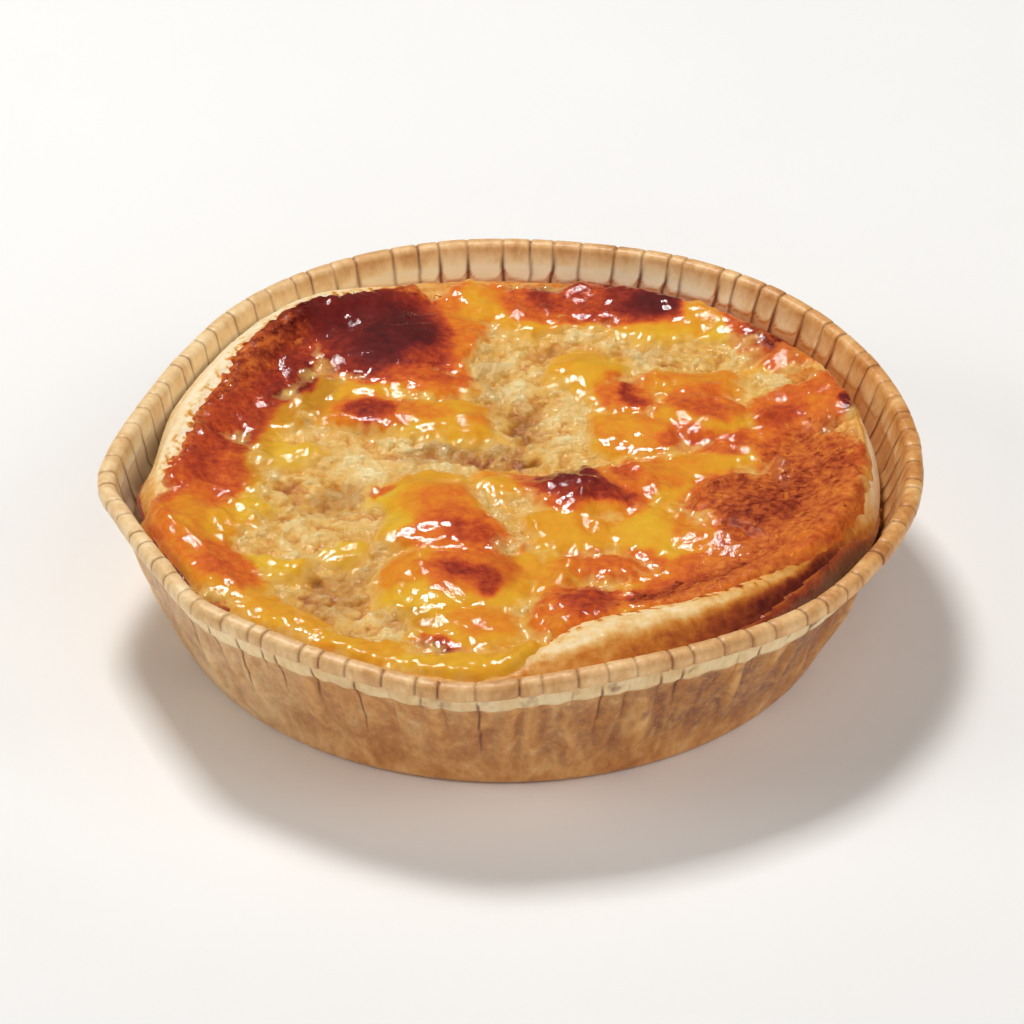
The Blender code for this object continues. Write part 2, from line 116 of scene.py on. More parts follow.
# Cheese patches that melt together: x, y, half length, half width, turn, dome.
CHEESE_PATCHES = (
    # left band and the dark back-left corner
    (-45, -2, 13, 7.5, 92, 0.8), (-43, 16, 10, 8, 75, 0.8), (-38, 28, 12, 9, 62, 0.9),
    (-31, 40, 9, 8, 30, 0.8), (-19, 37, 16, 13, 110, 1.2), (-8, 36, 16, 6.5, 95, 0.8),
    (-14, 23, 11, 5.5, 172, 0.7), (-36, 12, 10, 5.5, 90, 0.2), (-39, -4, 9, 3.5, 90, 0.2),
    (-23, 20, 6, 4.5, 160, 0.5), (-4, 47, 7, 6, 90, 0.6), (-28.5, 20, 7, 4.5, 75, 0.3),
    # slab left of the middle
    (-21, 14, 9, 6.5, 170, 1.3), (-8, 11.5, 12, 6.5, 178, 1.3), (-33, 3.5, 7, 4, 5, 0.6),
    # left front
    (-46, -16, 9, 8, 100, 0.8), (-43, -26, 12, 7.5, 120, 0.9), (-39, -33, 8, 5, 125, 0.7),
    (-37, -11, 8, 3.2, 45, 0.7), (-40, -18, 6, 5, 90, 0.6), (-33, -27, 6, 4.6, 20, 0.9),
    (-31, -42, 9, 5, 150, 0.7), (-20, -50, 11, 4.5, 160, 0.6), (-6, -54.5, 12, 4.5, 176, 0.5),
    (4, -53, 8, 4, 8, 0.4), (-23.5, -23.5, 6.5, 3.4, 85, 0.9), (-29, -11.5, 2.8, 2.2, 0, 0.5),
    # the two front mounds
    (-10, -11, 11, 8.5, 0, 1.5), (-18.5, -9, 5, 3, 175, 0.9), (-8.5, -18.5, 11, 9, 0, 1.4),
    (-7, -33, 13, 10, 0, 1.4), (-6, -44, 10, 6.5, 175, 0.9), (8, -30, 6, 5, 60, 0.7),
    # middle
    (3, -5, 9.5, 5.5, 8, 0.9), (12, -9, 10, 7.5, 160, 1.8), (9, -19, 9, 7, 0, 1), (21, -6, 10, 8, 20, 1),
    (22, -20, 7, 8, 0, 0.8), (4.5, -28, 4, 6, 0, 0.6),
    # right of the middle
    (19.5, 8, 9.5, 7, 165, 1.4), (12, 26, 8.6, 7.4, 70, 1.3), (18, 18, 6, 6, 80, 1.2),
    (29, 22, 10, 6.5, 0, 1.1), (30, 12, 9, 8, 150, 1.2), (45, 14, 10, 8.5, 20, 1.2),
    (38, 4, 10, 6, 25, 0.9), (30, -2, 7, 6, 0, 0.8),
    # brown right side and the front right
    (47, -4, 13, 8.3, 90, 0.9), (42, -16, 13, 13, 0, 1.1), (30, -25, 10, 8, 20, 0.9),
    (33, -10, 8, 7, 40, 1.1), (28, -36, 19, 9.5, 24, 0.8), (15, -28, 8, 4.5, 175, 1.1),
    (46, -27, 12, 9, 40, 0.6), (10, -41, 9.5, 6.5, 65, 1.3), (6, -33, 6, 4, 90, 0.6),
    # back strip
    (4, 45, 8.5, 7, 90, 0.9), (16, 47, 15, 7, 0, 1.1), (24, 42, 9, 7, 10, 0.9), (10, 41, 8, 3.5, 10, 0.6),
    (34, 42, 6, 6.5, 130, 0.7), (41, 34, 10, 6.5, 120, 0.9), (47, 26, 9, 5, 112, 0.9),
    (37, 29, 4, 3, 90, 0.5), (52, 19, 6, 4, 115, 0.6),
)
# Windows on the filling: x, y, half length, half width, turn.
WINDOWS = (
    (1, 29, 9, 6, 85), (11, 36.5, 6, 2.4, 5), (28, 31.5, 9, 3.4, 12), (43.5, 23.5, 6, 2.4, 12),
    (-26, 8, 6, 2, 172), (-15, 0.5, 12.5, 4.4, 8), (8, 10, 12, 4.8, 95), (1, 15, 8, 3.2, 100),
    (-29, -5, 8, 5, 30), (-30, -18, 8, 6, 80), (-25, -9, 4, 3, 0), (-29, 8, 4, 1.6, 0),
    (-25, -34, 6, 4.6, 90), (-19.5, -42.5, 6, 4.8, 130), (0.2, -15.5, 7.5, 1.2, 116), (31, 29, 7, 2.6, 10),
    (-37, -21, 3, 2, 90), (-21, -17, 2.4, 5, 160),
)
# Angle and how far beyond the crust's crest the cheese reaches; negative leaves the crest bare.
CHEESE_REACH = (
    (0, 1.2), (20, 1), (45, 0.6), (70, 0.8), (95, 0.6), (106, -0.2), (118, -1.4), (128, -1), (142, -1),
    (155, -2.2), (168, -1.8), (178, -2), (186, -0.6), (196, 3), (230, 5), (262, 5), (272, 1.2), (281, -3.8),
    (292, -4.2), (304, -3), (316, -0.8), (325, 0.6), (338, 1), (350, 1.2),
)
CHEESE_BLEND = 6  # how sharply one dome meets the next
CHEESE_SKIN = 0.8
CHEESE_PAPER_GAP = 0.9

# ---------------------------------------------------------------- sizes and marks of the looks alone

# Grid steps of the filling and the cheese, and columns of points round the crust.
FILLING_GRID = 0.32
CHEESE_GRID = 0.425
CRUST_COLUMNS = 1100
# Where the columns of points stand between one crease and the next, as shares of the way.
PLEAT_STEPS = (0, 0.03, 0.07, 0.13, 0.22, 0.34, 0.45, 0.56, 0.67, 0.78, 0.87, 0.93, 0.97)
# Radii that turn an angle into a length along the crust, the case and the streaks of the top.
CRUST_ARC = 52.0
CASE_ARC = 60.0
STREAK_ARC = 50.0
# Flakes: how many places are tried, and how far from the middle.
FLAKE_TRIES = 1800
FLAKE_REACH = 58.0

PINCH = 0.2  # the share by which a crease draws the roll in
CREASE_WIDTH = 0.22
INNER_CREASE_WIDTH = 0.34
FOLD_DEPTH = 1.2
DEEPEST_FOLD = (0.55, 1.0)  # inside and outside the wall
STRIP_HEIGHT = 5.9  # how far down from the roll's middle the strip reaches
STRIP_RISE = 0.22

GOLD = 0.24  # tone of the cheese where no stroke of browning lies
# Strokes of browning, one over another: x, y, half length, half width, turn, tone, softness.
BROWNING = (
    # paler, thin or yellow areas first
    (-34, 13, 12, 6, 90, 0.24, 1), (-33, 3, 8, 5, 10, 0.13, 1), (-39, -4, 9, 4, 90, 0.26, 1),
    (-37, -11, 8, 4, 50, 0.12, 1), (-22, 20, 8, 4, 170, 0.22, 1), (-8, 9, 13, 7, 175, 0.2, 1),
    (-34, -27, 7, 5, 20, 0.14, 1), (-23.5, -23, 7, 4, 85, 0.12, 1), (12, 26, 9, 9, 75, 0.2, 1),
    (-17, -14, 6, 9, 10, 0.12, 1), (-13, -38, 9, 6, 0, 0.17, 1), (8, -20, 9, 6, 0, 0.25, 1),
    (22, -21, 7, 8, 0, 0.18, 1), (24, 37, 8, 4, 5, 0.18, 1), (2, 38, 6, 4, 0, 0.24, 1),
    (6, -32, 5, 6, 0, 0.3, 1), (-28, -46, 14, 5, 155, 0.24, 1), (-6, -55, 14, 4, 178, 0.2, 1),
    (34, 36, 5, 9, 170, 0.14, 1), (-10, -5, 10, 4, 0, 0.24, 1), (-28, 20, 7, 4, 75, 0.2, 0.8),
    # left band
    (-46, 0, 18, 7.5, 92, 0.5, 0.5), (-46, -2, 9, 4, 88, 0.62, 0.8), (-42, 14, 13, 7, 78, 0.6, 0.5),
    (-39, 25, 15, 8.5, 62, 0.62, 0.4), (-34, 24, 8, 5, 78, 0.72, 0.6), (-47, 10, 8, 4, 80, 0.6, 0.6),
    (-47, -12, 7, 6, 60, 0.46, 0.8), (-45, -19, 9, 7, 105, 0.33, 0.8), (-48, -24, 12, 3, 118, 0.42, 1),
    (-40, -29, 8, 4.5, 112, 0.46, 0.8), (-42, -18, 6, 3, 90, 0.24, 0.9), (-50, -8, 6, 3, 80, 0.52, 0.8),
    # dark patch and its orange fringe
    (-12, 37, 19, 11, 98, 0.4, 0.35), (-32, 39, 9, 7, 30, 0.74, 0.5), (-20, 37, 15, 12, 105, 0.64, 0.35),
    (-20, 37, 14, 10, 100, 0.8, 0.6), (-17, 35, 10, 7, 98, 0.95, 0.9), (-27, 41, 9, 6, 10, 0.86, 0.7),
    (-33, 45, 6, 3, 170, 0.96, 0.6), (-19, 50, 9, 2.6, 178, 0.58, 0.8), (-12, 28, 5, 4, 0, 0.66, 0.9),
    (-12, 23.5, 8, 3, 175, 0.5, 1), (-4, 46, 4, 7, 0, 0.28, 0.9), (-1, 50, 4, 4, 0, 0.36, 0.9),
    # slab
    (-20, 14, 8, 5.4, 170, 0.4, 0.5), (-20.5, 13.5, 4.5, 3.8, 170, 0.67, 0.8),
    (-12, 12.5, 5, 3, 0, 0.38, 0.9), (-2, 12, 5, 4, 0, 0.34, 0.9), (1, 13, 3, 2.2, 100, 0.5, 1),
    # back strip
    (9, 48, 10, 8, 0, 0.5, 0.4), (8, 49, 5.5, 5, 90, 0.74, 0.7), (20, 48, 13, 8, 178, 0.58, 0.4),
    (21, 48, 11, 6, 175, 0.74, 0.7), (23, 45, 5.5, 3.6, 0, 0.93, 1), (14, 48, 3, 4, 0, 0.6, 0.8),
    (31, 43, 3, 6, 0, 0.26, 0.8), (36, 43.5, 5, 3, 140, 0.4, 0.8), (41, 35, 10, 5.5, 118, 0.5, 0.4),
    (41, 36, 6.5, 3.6, 110, 0.66, 0.7), (43, 32, 4, 3, 120, 0.72, 0.8), (46, 26, 7, 4, 115, 0.44, 0.6),
    (51, 20, 5, 3, 120, 0.42, 0.8),
    # right of the middle
    (19.5, 19, 7, 6, 80, 0.42, 0.5), (20.5, 19, 5.6, 3.2, 78, 0.72, 0.8), (29, 21, 10, 7, 0, 0.32, 0.6),
    (31, 15, 7, 6, 150, 0.44, 0.6), (30, 13, 4, 2.6, 150, 0.52, 0.9), (20, 8, 9, 6.5, 165, 0.31, 0.6),
    (27, 5, 4, 5, 20, 0.5, 0.8), (46, 14, 9, 8, 20, 0.43, 0.4), (42, 12, 5, 3, 20, 0.56, 0.7),
    (47, 9, 8, 3, 25, 0.46, 0.8), (53, 14, 5, 1.8, 75, 0.78, 0.6), (51, 19, 4, 3, 120, 0.46, 0.8),
    (37, 5, 6, 4, 30, 0.4, 0.8), (33, 4, 4, 5, 90, 0.5, 0.8),
    # dome and what is round it
    (2, -2, 9, 4, 5, 0.29, 0.8), (12, -8, 11, 8, 155, 0.46, 0.35), (12, -8, 9, 6, 152, 0.7, 0.5),
    (11, -6, 7, 4, 155, 0.84, 0.9), (14, -16, 6, 3, 30, 0.3, 0.9), (21, -4, 8, 6, 20, 0.38, 0.6),
    (18.5, -3, 2.4, 4, 0, 0.52, 0.9), (28, -1, 5, 5, 0, 0.29, 0.8), (25, -14, 3, 8, 10, 0.24, 0.8),
    # brown right side
    (47, 0, 9, 10, 0, 0.54, 0.4), (50, 2, 5, 5, 0, 0.52, 0.8), (41, -15, 15, 14, 0, 0.54, 0.35),
    (33, -9, 6, 5, 40, 0.54, 0.6), (34, -8, 4, 2.6, 35, 0.64, 0.9), (39, -15, 9, 6, 40, 0.68, 0.8),
    (48, -6, 6, 6, 0, 0.6, 0.8), (38, -26, 10, 4, 35, 0.52, 0.7), (50, -16, 5, 8, 160, 0.52, 0.8),
    (40, -36, 12, 4, 38, 0.55, 0.8), (24, -43, 12, 3.5, 22, 0.46, 0.8), (14, -45, 5, 3, 30, 0.4, 0.8),
    (44, -26, 9, 3, 40, 0.5, 0.9), (28, -20, 4, 6, 0, 0.36, 0.8), (30, -28, 8, 3, 20, 0.46, 0.8),
    # front right
    (16, -28, 9, 4.5, 175, 0.42, 0.5), (14, -27, 5, 2.6, 170, 0.47, 0.9), (21, -32, 4, 2, 20, 0.34, 0.9),
    (29, -34, 15, 5, 24, 0.5, 0.6), (30, -33, 9, 2.6, 26, 0.6, 0.8), (22, -37, 6, 2.6, 20, 0.64, 0.8),
    (10, -41, 9, 6.5, 62, 0.42, 0.4), (12, -38, 5.5, 5, 60, 0.6, 0.7), (6, -46, 5, 3, 60, 0.36, 0.9),
    # front mounds
    (-8, -13, 9, 7, 0, 0.31, 0.7), (-9, -13, 5, 4, 0, 0.38, 0.8), (-5, -21, 9, 6, 165, 0.43, 0.5),
    (-5, -22, 7, 3.4, 165, 0.58, 0.8), (-12, -22, 4, 3, 20, 0.44, 0.9), (-15, -29, 4, 6, 0, 0.32, 0.8),
    (-5, -31, 8, 7, 10, 0.42, 0.6), (-6, -32, 6, 3.2, 165, 0.58, 0.9), (-7, -31.5, 2.6, 1.8, 170, 0.7, 0.8),
    (-2.5, -34, 2.2, 4.5, 5, 0.63, 0.8), (-3, -43, 6, 4, 170, 0.34, 0.8), (-9, -49, 5, 2, 150, 0.56, 0.7),
    (-10, -49, 3, 1, 150, 0.76, 0.6), (-19, -8.5, 2.8, 1.8, 0, 0.46, 0.8),
)
# The bare crust's colour by angle: tone at the crest, tone at the outer edge, gloss. The outer edge near 0
# degrees is painted paler, as light that lifts its shade.
CRUST_TONES = (
    (0, 0.38, 0.04, 0.2), (25, 0.5, 0.3, 0.3), (50, 0.54, 0.62, 0.3), (80, 0.5, 0.6, 0.2),
    (100, 0.4, 0.34, 0.1), (120, 0.1, 0.14, 0), (140, 0.02, 0.08, 0), (165, 0.04, 0.1, 0),
    (180, 0.06, 0.2, 0.1), (200, 0.45, 0.6, 0.5), (220, 0.5, 0.7, 0.8), (245, 0.35, 0.5, 0.6),
    (266, 0.26, 0.36, 0.6), (278, 0.15, 0.44, 0.9), (290, 0.17, 0.54, 1), (304, 0.22, 0.72, 1),
    (318, 0.4, 0.86, 1), (330, 0.52, 0.84, 1), (342, 0.48, 0.4, 0.6), (352, 0.42, 0.06, 0.3),
)
# The case's wall by angle: how folded, how many dark creases, juice inside, smudges outside.
WALL_FOLDS = (
    (0, 0.8, 0.5, 0.6, 0.6), (25, 0.8, 0.5, 0.9, 0.4), (50, 0.8, 0.4, 1, 0.3), (75, 0.8, 0.4, 0.9, 0.3),
    (100, 0.8, 0.4, 0.8, 0.3), (118, 0.8, 0.4, 0.3, 0.3), (150, 0.8, 0.4, 0.1, 0.3),
    (185, 0.7, 0.5, 0.5, 0.2), (205, 0.6, 0.6, 0.6, 0.1), (228, 0.5, 0.9, 0.4, 0.1),
    (245, 0.4, 0.9, 0.2, 0.2), (262, 0.4, 0.6, 0.2, 0.5), (280, 0.7, 0.5, 0.2, 0.7), (300, 1, 0.4, 0.3, 1),
    (318, 1, 0.4, 0.4, 1), (340, 0.9, 0.4, 0.5, 0.8),
)
# Angle and the share of the way from crest to paper where the caramelised juice starts.
JUICE_START = (
    (0, 1.25), (180, 1.1), (190, 0.9), (205, 0.95), (214, 0.7), (222, 0.85), (236, 1), (250, 1.3),
    (290, 1.2), (300, 0.92), (308, 0.78), (316, 0.62), (326, 0.5), (334, 0.52), (342, 0.85), (350, 1.15),
)
# Shaded hollows darkened as painted shade, and thin places tinted by juice: x, y, half length, half width,
# turn, depth of colour.
SOAKED_AND_SHADED = (
    (-29, 21, 9, 3.5, 85, 0.8), (-33, 14, 5, 4, 0, 0.6), (-38, 4, 12, 3.2, 88, 0.5),
    (-20, 9.5, 6, 2, 0, 0.3), (-25, -34, 6, 4.5, 90, 0.6), (-22, -29, 4, 3, 0, 0.5),
    (-25, -8, 5, 3.5, 20, 0.7), (-27, -12, 5, 2, 0, 0.4), (-8, 3, 9, 2.6, 5, 0.7), (-1, 3, 5, 4, 0, 0.6),
    (3, 13, 8, 3, 95, 0.5), (-2, 24, 10, 3, 92, 0.35), (0, -30, 2.5, 6, 0, 0.4),
    (-14, -42, 5, 2.5, 150, 0.5), (20, 32, 8, 3, 10, 0.3), (-17, -24, 3, 2, 0, 0.3),
)
# Where the browned top is dry and flaky: x, y, half length, half width, turn.
FLAKY = (
    (42, -12, 16, 17, 0), (48, 3, 8, 9, 0), (30, -36, 17, 5, 24), (-40, 30, 20, 6, 60),
    (-49, 10, 12, 4, 80), (-32, 45, 8, 4, 10), (44, 33, 12, 4, 120), (36, -28, 10, 6, 30),
    (-18, 50, 10, 3, 178),
)
# Slopes that catch the light: x, y, half length, half width, turn.
GLINTS = (
    # back left
    (-17, 40, 2, 1.5, 20), (-24, 39, 1.5, 1.2, 0), (-33.5, 25, 4, 1.2, 95), (-33, 43, 2, 1.5, 0),
    (-37, 17, 2, 1.5, 30), (-41, 13, 1.5, 2, 0), (-48, 12, 2, 1.5, 40), (-26, 28, 1.2, 2, 20),
    (-42, 19, 1.2, 2, 0), (-50, 6, 1.2, 2.5, 0), (-17, 20, 1.5, 2, 30),
    # slab and left
    (-26, 11.5, 3.5, 1.8, 170), (-15, 11, 1.4, 2, 20), (-9.5, 6.5, 2, 1.4, 20), (-6, 10, 1.6, 1.6, 0),
    (-33, 1, 4, 1.6, 0), (-29, 0, 1.6, 1.6, 0), (-45, -8, 3, 1.4, 10), (-47, -2, 1.2, 2, 0),
    # back right
    (11.5, 49, 2.4, 3.2, 20), (2, 42, 1.4, 3, 0), (6, 44, 1.2, 2, 0), (16.5, 42, 1.2, 2.4, 10),
    (32, 42, 1.8, 4, 0), (35, 41, 1.2, 2, 0), (39, 34, 1.8, 1.8, 0), (38.5, 38, 1.4, 1.8, 0),
    (43, 28, 3, 2.4, 150), (46, 23, 2, 1.5, 120),
    # right of the middle
    (7.5, 23, 1.8, 2.4, 0), (18, 12, 2, 1.2, 0), (23.5, 22, 1.6, 3.2, 20), (26.5, 22, 1.2, 1.6, 0),
    (24, 17, 1.2, 2, 0), (32, 15, 2.4, 2, 20), (33, 19, 1.8, 1.4, 0), (27, 10, 1.6, 2, 30),
    (31, 7, 2.8, 3, 30), (41.5, 17, 2, 1.8, 0), (38, 10.5, 3, 1.4, 40), (39, 7, 2.2, 1.8, 0),
    (49, 8, 1.4, 2, 0), (49, 17, 1.2, 2, 0), (36, 3, 2.4, 2, 0), (41.5, -4, 1.4, 5, 0),
    # dome and the middle
    (8, -5, 3, 1.6, 20), (10.5, -9, 3.2, 1.6, 10), (12, -15, 1.4, 4, 5), (13, -18.5, 1.4, 1.8, 0),
    (22.5, -9.5, 2.2, 2, 0), (19.5, -3.5, 1.2, 2.6, 0), (3, -12, 1.4, 4, 0), (7, -10, 1.2, 2.4, 30),
    (27, -23, 2.6, 3, 80), (31, -24, 3, 2.6, 60), (33.5, -26, 2.4, 1.4, 10), (26, -16, 1.2, 3, 30),
    # front
    (18, -37, 1.8, 1.5, 0), (9.3, -29, 1.3, 3, 5), (8.6, -33, 1.6, 2.4, 0), (7, -41, 1.3, 1.8, 0),
    (3.5, -44, 1.3, 4, 0), (1, -51, 1.4, 2, 0), (-12, -27, 1.3, 2.6, 0), (-12.5, -31.5, 1.4, 2.4, 0),
    (-14.5, -36, 1.5, 2.8, 20), (-7.5, -37, 1.3, 2.6, 30), (-10.5, -43, 2.2, 2, 60), (-3, -44, 1.2, 2, 30),
    (-13, -52, 1.4, 2, 20), (-21.5, -10, 1.2, 2.2, 0), (-19, -14, 1.2, 1.6, 0),
    # left front
    (-41.5, -17, 1.6, 3.4, 20), (-41.5, -22, 1.8, 2, 0), (-38, -15.5, 2.4, 1.2, 160),
    (-33.5, -27, 2.2, 1.6, 0), (-36.5, -29, 1.4, 1.6, 0), (-33.5, -34, 2, 1.6, 0),
    (-22.5, -23, 1.4, 2.6, 0), (-50, -20, 1.6, 4, 30), (-46, -24, 1.4, 3, 30), (-28, -45, 2.4, 1.4, 150),
    (-19, -44, 1.8, 1.8, 0),
)
GLINT_RISE = 0.2  # slope towards the light; wrinkles add the rest
TO_LIGHT = (0.34, 0.94)  # the way in which a glint rises
GLINT_BOX = 6.0  # half the side of the square that holds any glint
# Threads and folds in the cheese: height, width, then the x, y points they run through.
FOLDS = (
    (0.4, 0.6, (-52, -13), (-49, -19), (-44, -25), (-41, -31), (-38, -37)),
    (0.35, 0.6, (-43, -15), (-41.5, -19), (-41, -23)),
    (0.4, 0.7, (7, -6), (11, -8), (11.5, -13), (13, -18)),
    (0.45, 0.9, (2, -8), (3, -14), (4, -22)),
    (0.4, 0.7, (21, -3), (22.5, -9), (24, -13)),
    (0.55, 0.8, (34, 5), (37, 9), (41, 12.5)),
    (0.6, 0.9, (25, -17), (29, -10), (34, -6.5), (38, -4)),
    (0.5, 0.8, (10, -27), (9, -33), (6, -38), (3.6, -46)),
    (0.35, 0.7, (-12, -25), (-12.6, -29), (-12, -33)),
    (0.35, 0.8, (23, 26), (23, 21), (24, 14)),
    (0.3, 0.8, (-4, 31), (-5, 38), (-3, 47)),
    (-0.6, 0.8, (-29.5, 24), (-30, 18), (-28.5, 12)),
    (-0.55, 0.9, (-20, -21.5), (-15, -24.5), (-9, -25), (-3, -27)),
    (-0.5, 0.8, (12, 2.5), (19, 0.5), (26, 2), (31, 4.5)),
    (-0.45, 0.8, (33, 5), (40, 4), (46, 8)),
    (-0.4, 0.8, (14, -3), (19, -12), (17, -20)),
    (-0.8, 0.6, (-14, -46.5), (-9, -49.5), (-5, -52)),
    (-0.7, 0.7, (-2.5, -14), (0.5, -19), (2.5, -26)),
    (0.45, 0.8, (9.5, -27), (7.5, -33), (5, -38), (3.6, -46)),
    (-0.45, 0.8, (-17, -40.5), (-10, -41.5), (-3, -39)),
    (-0.5, 0.9, (4, -35), (8, -36), (17, -32.5), (22, -31)),
    (-0.45, 0.9, (22, 13), (26, 9), (27, 3)),
    (-0.4, 0.9, (38, 12), (38, 17), (41, 21)),
    (-0.45, 0.9, (28, -18), (34, -20), (38, -24)),
    (-0.5, 0.8, (-12, 18), (-18, 17.5), (-25, 20)),
)


def smooth(t):
    """0 below 0, 1 above 1, and an S-curve between."""
    t = np.clip(t, 0.0, 1.0)
    return t * t * (3 - 2 * t)


def closed_curve(knots, degrees, column=1):
    """The value at each angle on a smooth closed curve through (angle, value, ...) knots."""
    angle = np.array([k[0] for k in knots], float)
    value = np.array([k[column] for k in knots], float)
    angle = np.concatenate([angle[-3:] - 360, angle, angle[:3] + 360])
    value = np.concatenate([value[-3:], value, value[:3]])
    slope = np.gradient(value, angle)
    at = np.mod(degrees, 360.0)
    i = np.searchsorted(angle, at, side="right") - 1
    span = angle[i + 1] - angle[i]
    t = (at - angle[i]) / span
    ease = t * t * (3 - 2 * t)
    bow = t * (1 - t) * ((1 - t) * (slope[i] * span) - t * (slope[i + 1] * span))
    return value[i] + ease * (value[i + 1] - value[i]) + bow


def closed_curves(knots, degrees):
    """One closed curve for each value of the knots."""
    return [closed_curve(knots, degrees, column) for column in range(1, len(knots[0]))]


def polar(x, y):
    """Angle in degrees and radius."""
    return np.degrees(np.arctan2(y, x)), np.hypot(x, y)


def around(r, degrees):
    """x and y at a radius and an angle."""
    angle = np.radians(degrees)
    return r * np.cos(angle), r * np.sin(angle)


# ---------------------------------------------------------------- noise on arrays

def draw(ix, iy, seed):
    """A number from 0 to 1 for each lattice point, always the same for the same seed."""
    n = ix.astype(np.int64) * 374761393 + iy.astype(np.int64) * 668265263 + seed * 974711
    n = (n ^ (n >> 13)) & 0xFFFFFFFF
    n = (n * 1274126177) & 0xFFFFFFFF
    n = (n ^ (n >> 15)) & 0xFFFFFFFF
    n = (n * 2246822519) & 0xFFFFFFFF
    return ((n ^ (n >> 13)) & 0xFFFFFF) / float(0xFFFFFF)


def draw_row(number, seed, row=0):
    """A number from 0 to 1 for each whole number."""
    return draw(number, number * 0 + row, seed)


def waves(x, y, size, seed, octaves=1, fade=0.5):
    """Gradient noise of about -1 to 1 whose bumps are about size across."""
    total = np.zeros_like(x)
    weight, reach = 1.0, 0.0
    for octave in range(octaves):
        u, v = x / size, y / size
        iu, iv = np.floor(u), np.floor(v)
        fu, fv = u - iu, v - iv
        su = fu * fu * fu * (fu * (fu * 6 - 15) + 10)
        sv = fv * fv * fv * (fv * (fv * 6 - 15) + 10)
        corner = []
        for du, dv in ((0, 0), (1, 0), (0, 1), (1, 1)):
            turn = draw(iu + du, iv + dv, seed + 17 * octave) * math.tau
            corner.append(np.cos(turn) * (fu - du) + np.sin(turn) * (fv - dv))
        low = corner[0] + su * (corner[1] - corner[0])
        high = corner[2] + su * (corner[3] - corner[2])
        total += weight * 1.5 * (low + sv * (high - low))
        reach += weight
        weight *= fade
        size = size / 2
    return total / reach


def cells(x, y, size, seed):
    """Distance to the nearest of scattered points, in cell sizes, and that point's draw."""
    u, v = x / size, y / size
    iu, iv = np.floor(u), np.floor(v)
    near = np.full_like(u, 9.0)
    mark = np.zeros_like(u)
    for du in (-1, 0, 1):
        for dv in (-1, 0, 1):
            px = iu + du + draw(iu + du, iv + dv, seed)
            py = iv + dv + draw(iu + du, iv + dv, seed + 5)
            away = np.hypot(px - u, py - v)
            closer = away < near
            mark = np.where(closer, draw(iu + du, iv + dv, seed + 9), mark)
            near = np.minimum(near, away)
    return near, mark


def spot(x, y, cx, cy, half_long, half_wide, turn):
    """1 at the middle of an ellipse, 0 at its outline, negative outside."""
    c, s = math.cos(math.radians(turn)), math.sin(math.radians(turn))
    u = ((x - cx) * c + (y - cy) * s) / half_long
    v = ((y - cy) * c - (x - cx) * s) / half_wide
    return 1 - (u * u + v * v)


# ---------------------------------------------------------------- the shared surfaces

def wall_swell(degrees, climb):
    """How far the wall stands out at a share of its height."""
    return closed_curve(WALL_SWELL, degrees) * np.sin(math.pi * climb**0.75)


def paper_inside(degrees, height):
    """Radius of the case's inner wall, pleats aside."""
    foot = BASE_RADIUS - PAPER
    top = closed_curve(ROLL_OUTLINE, degrees) - ROLL_RADIUS
    climb = np.clip((height - PAPER - BASE_TURN) / (ROLL_RISE - PAPER - BASE_TURN), 0.0, 1.0)
    return foot + (top - foot) * climb + wall_swell(degrees, climb)


def crust_edge(degrees):
    """Radius and height of the crust's outer top edge."""
    height = closed_curve(CRUST_OUTLINE, degrees, EDGE_HEIGHT)
    gap = np.maximum(closed_curve(CRUST_OUTLINE, degrees, EDGE_GAP), 0.0)
    return paper_inside(degrees, height) - PLEAT_DEPTH - CRUST_CLEARANCE - gap, height


def top_of_core(x, y):
    """Height of the bare top, crust and filling together, under the cheese."""
    degrees, r = polar(x, y)
    level = np.full_like(r, FILLING_LEVEL)
    for sx, sy, spread, height in SWELLS:
        level = level + height * np.exp(-((x - sx) ** 2 + (y - sy) ** 2) / spread**2 / 2)
    crest = closed_curve(CRUST_OUTLINE, degrees, CREST)
    crest_height = closed_curve(CRUST_OUTLINE, degrees, CREST_HEIGHT)
    edge, edge_height = crust_edge(degrees)
    rise = smooth((r - crest + CREST_SLOPE) / CREST_SLOPE)
    inside = level + (crest_height - level) * rise
    fall = np.clip((r - crest) / np.maximum(edge - crest, 1.0), 0.0, 1.5)
    outside = crest_height + (edge_height - crest_height) * fall**1.5
    return np.where(r > crest, outside, inside)


def warped(x, y, amount, size, seed, octaves=3):
    """The points pushed about by noise, so that what is laid on them gets ragged outlines."""
    return (
        x + amount * waves(x, y, size, seed, octaves),
        y + amount * waves(x, y, size, seed + 40, octaves),
    )


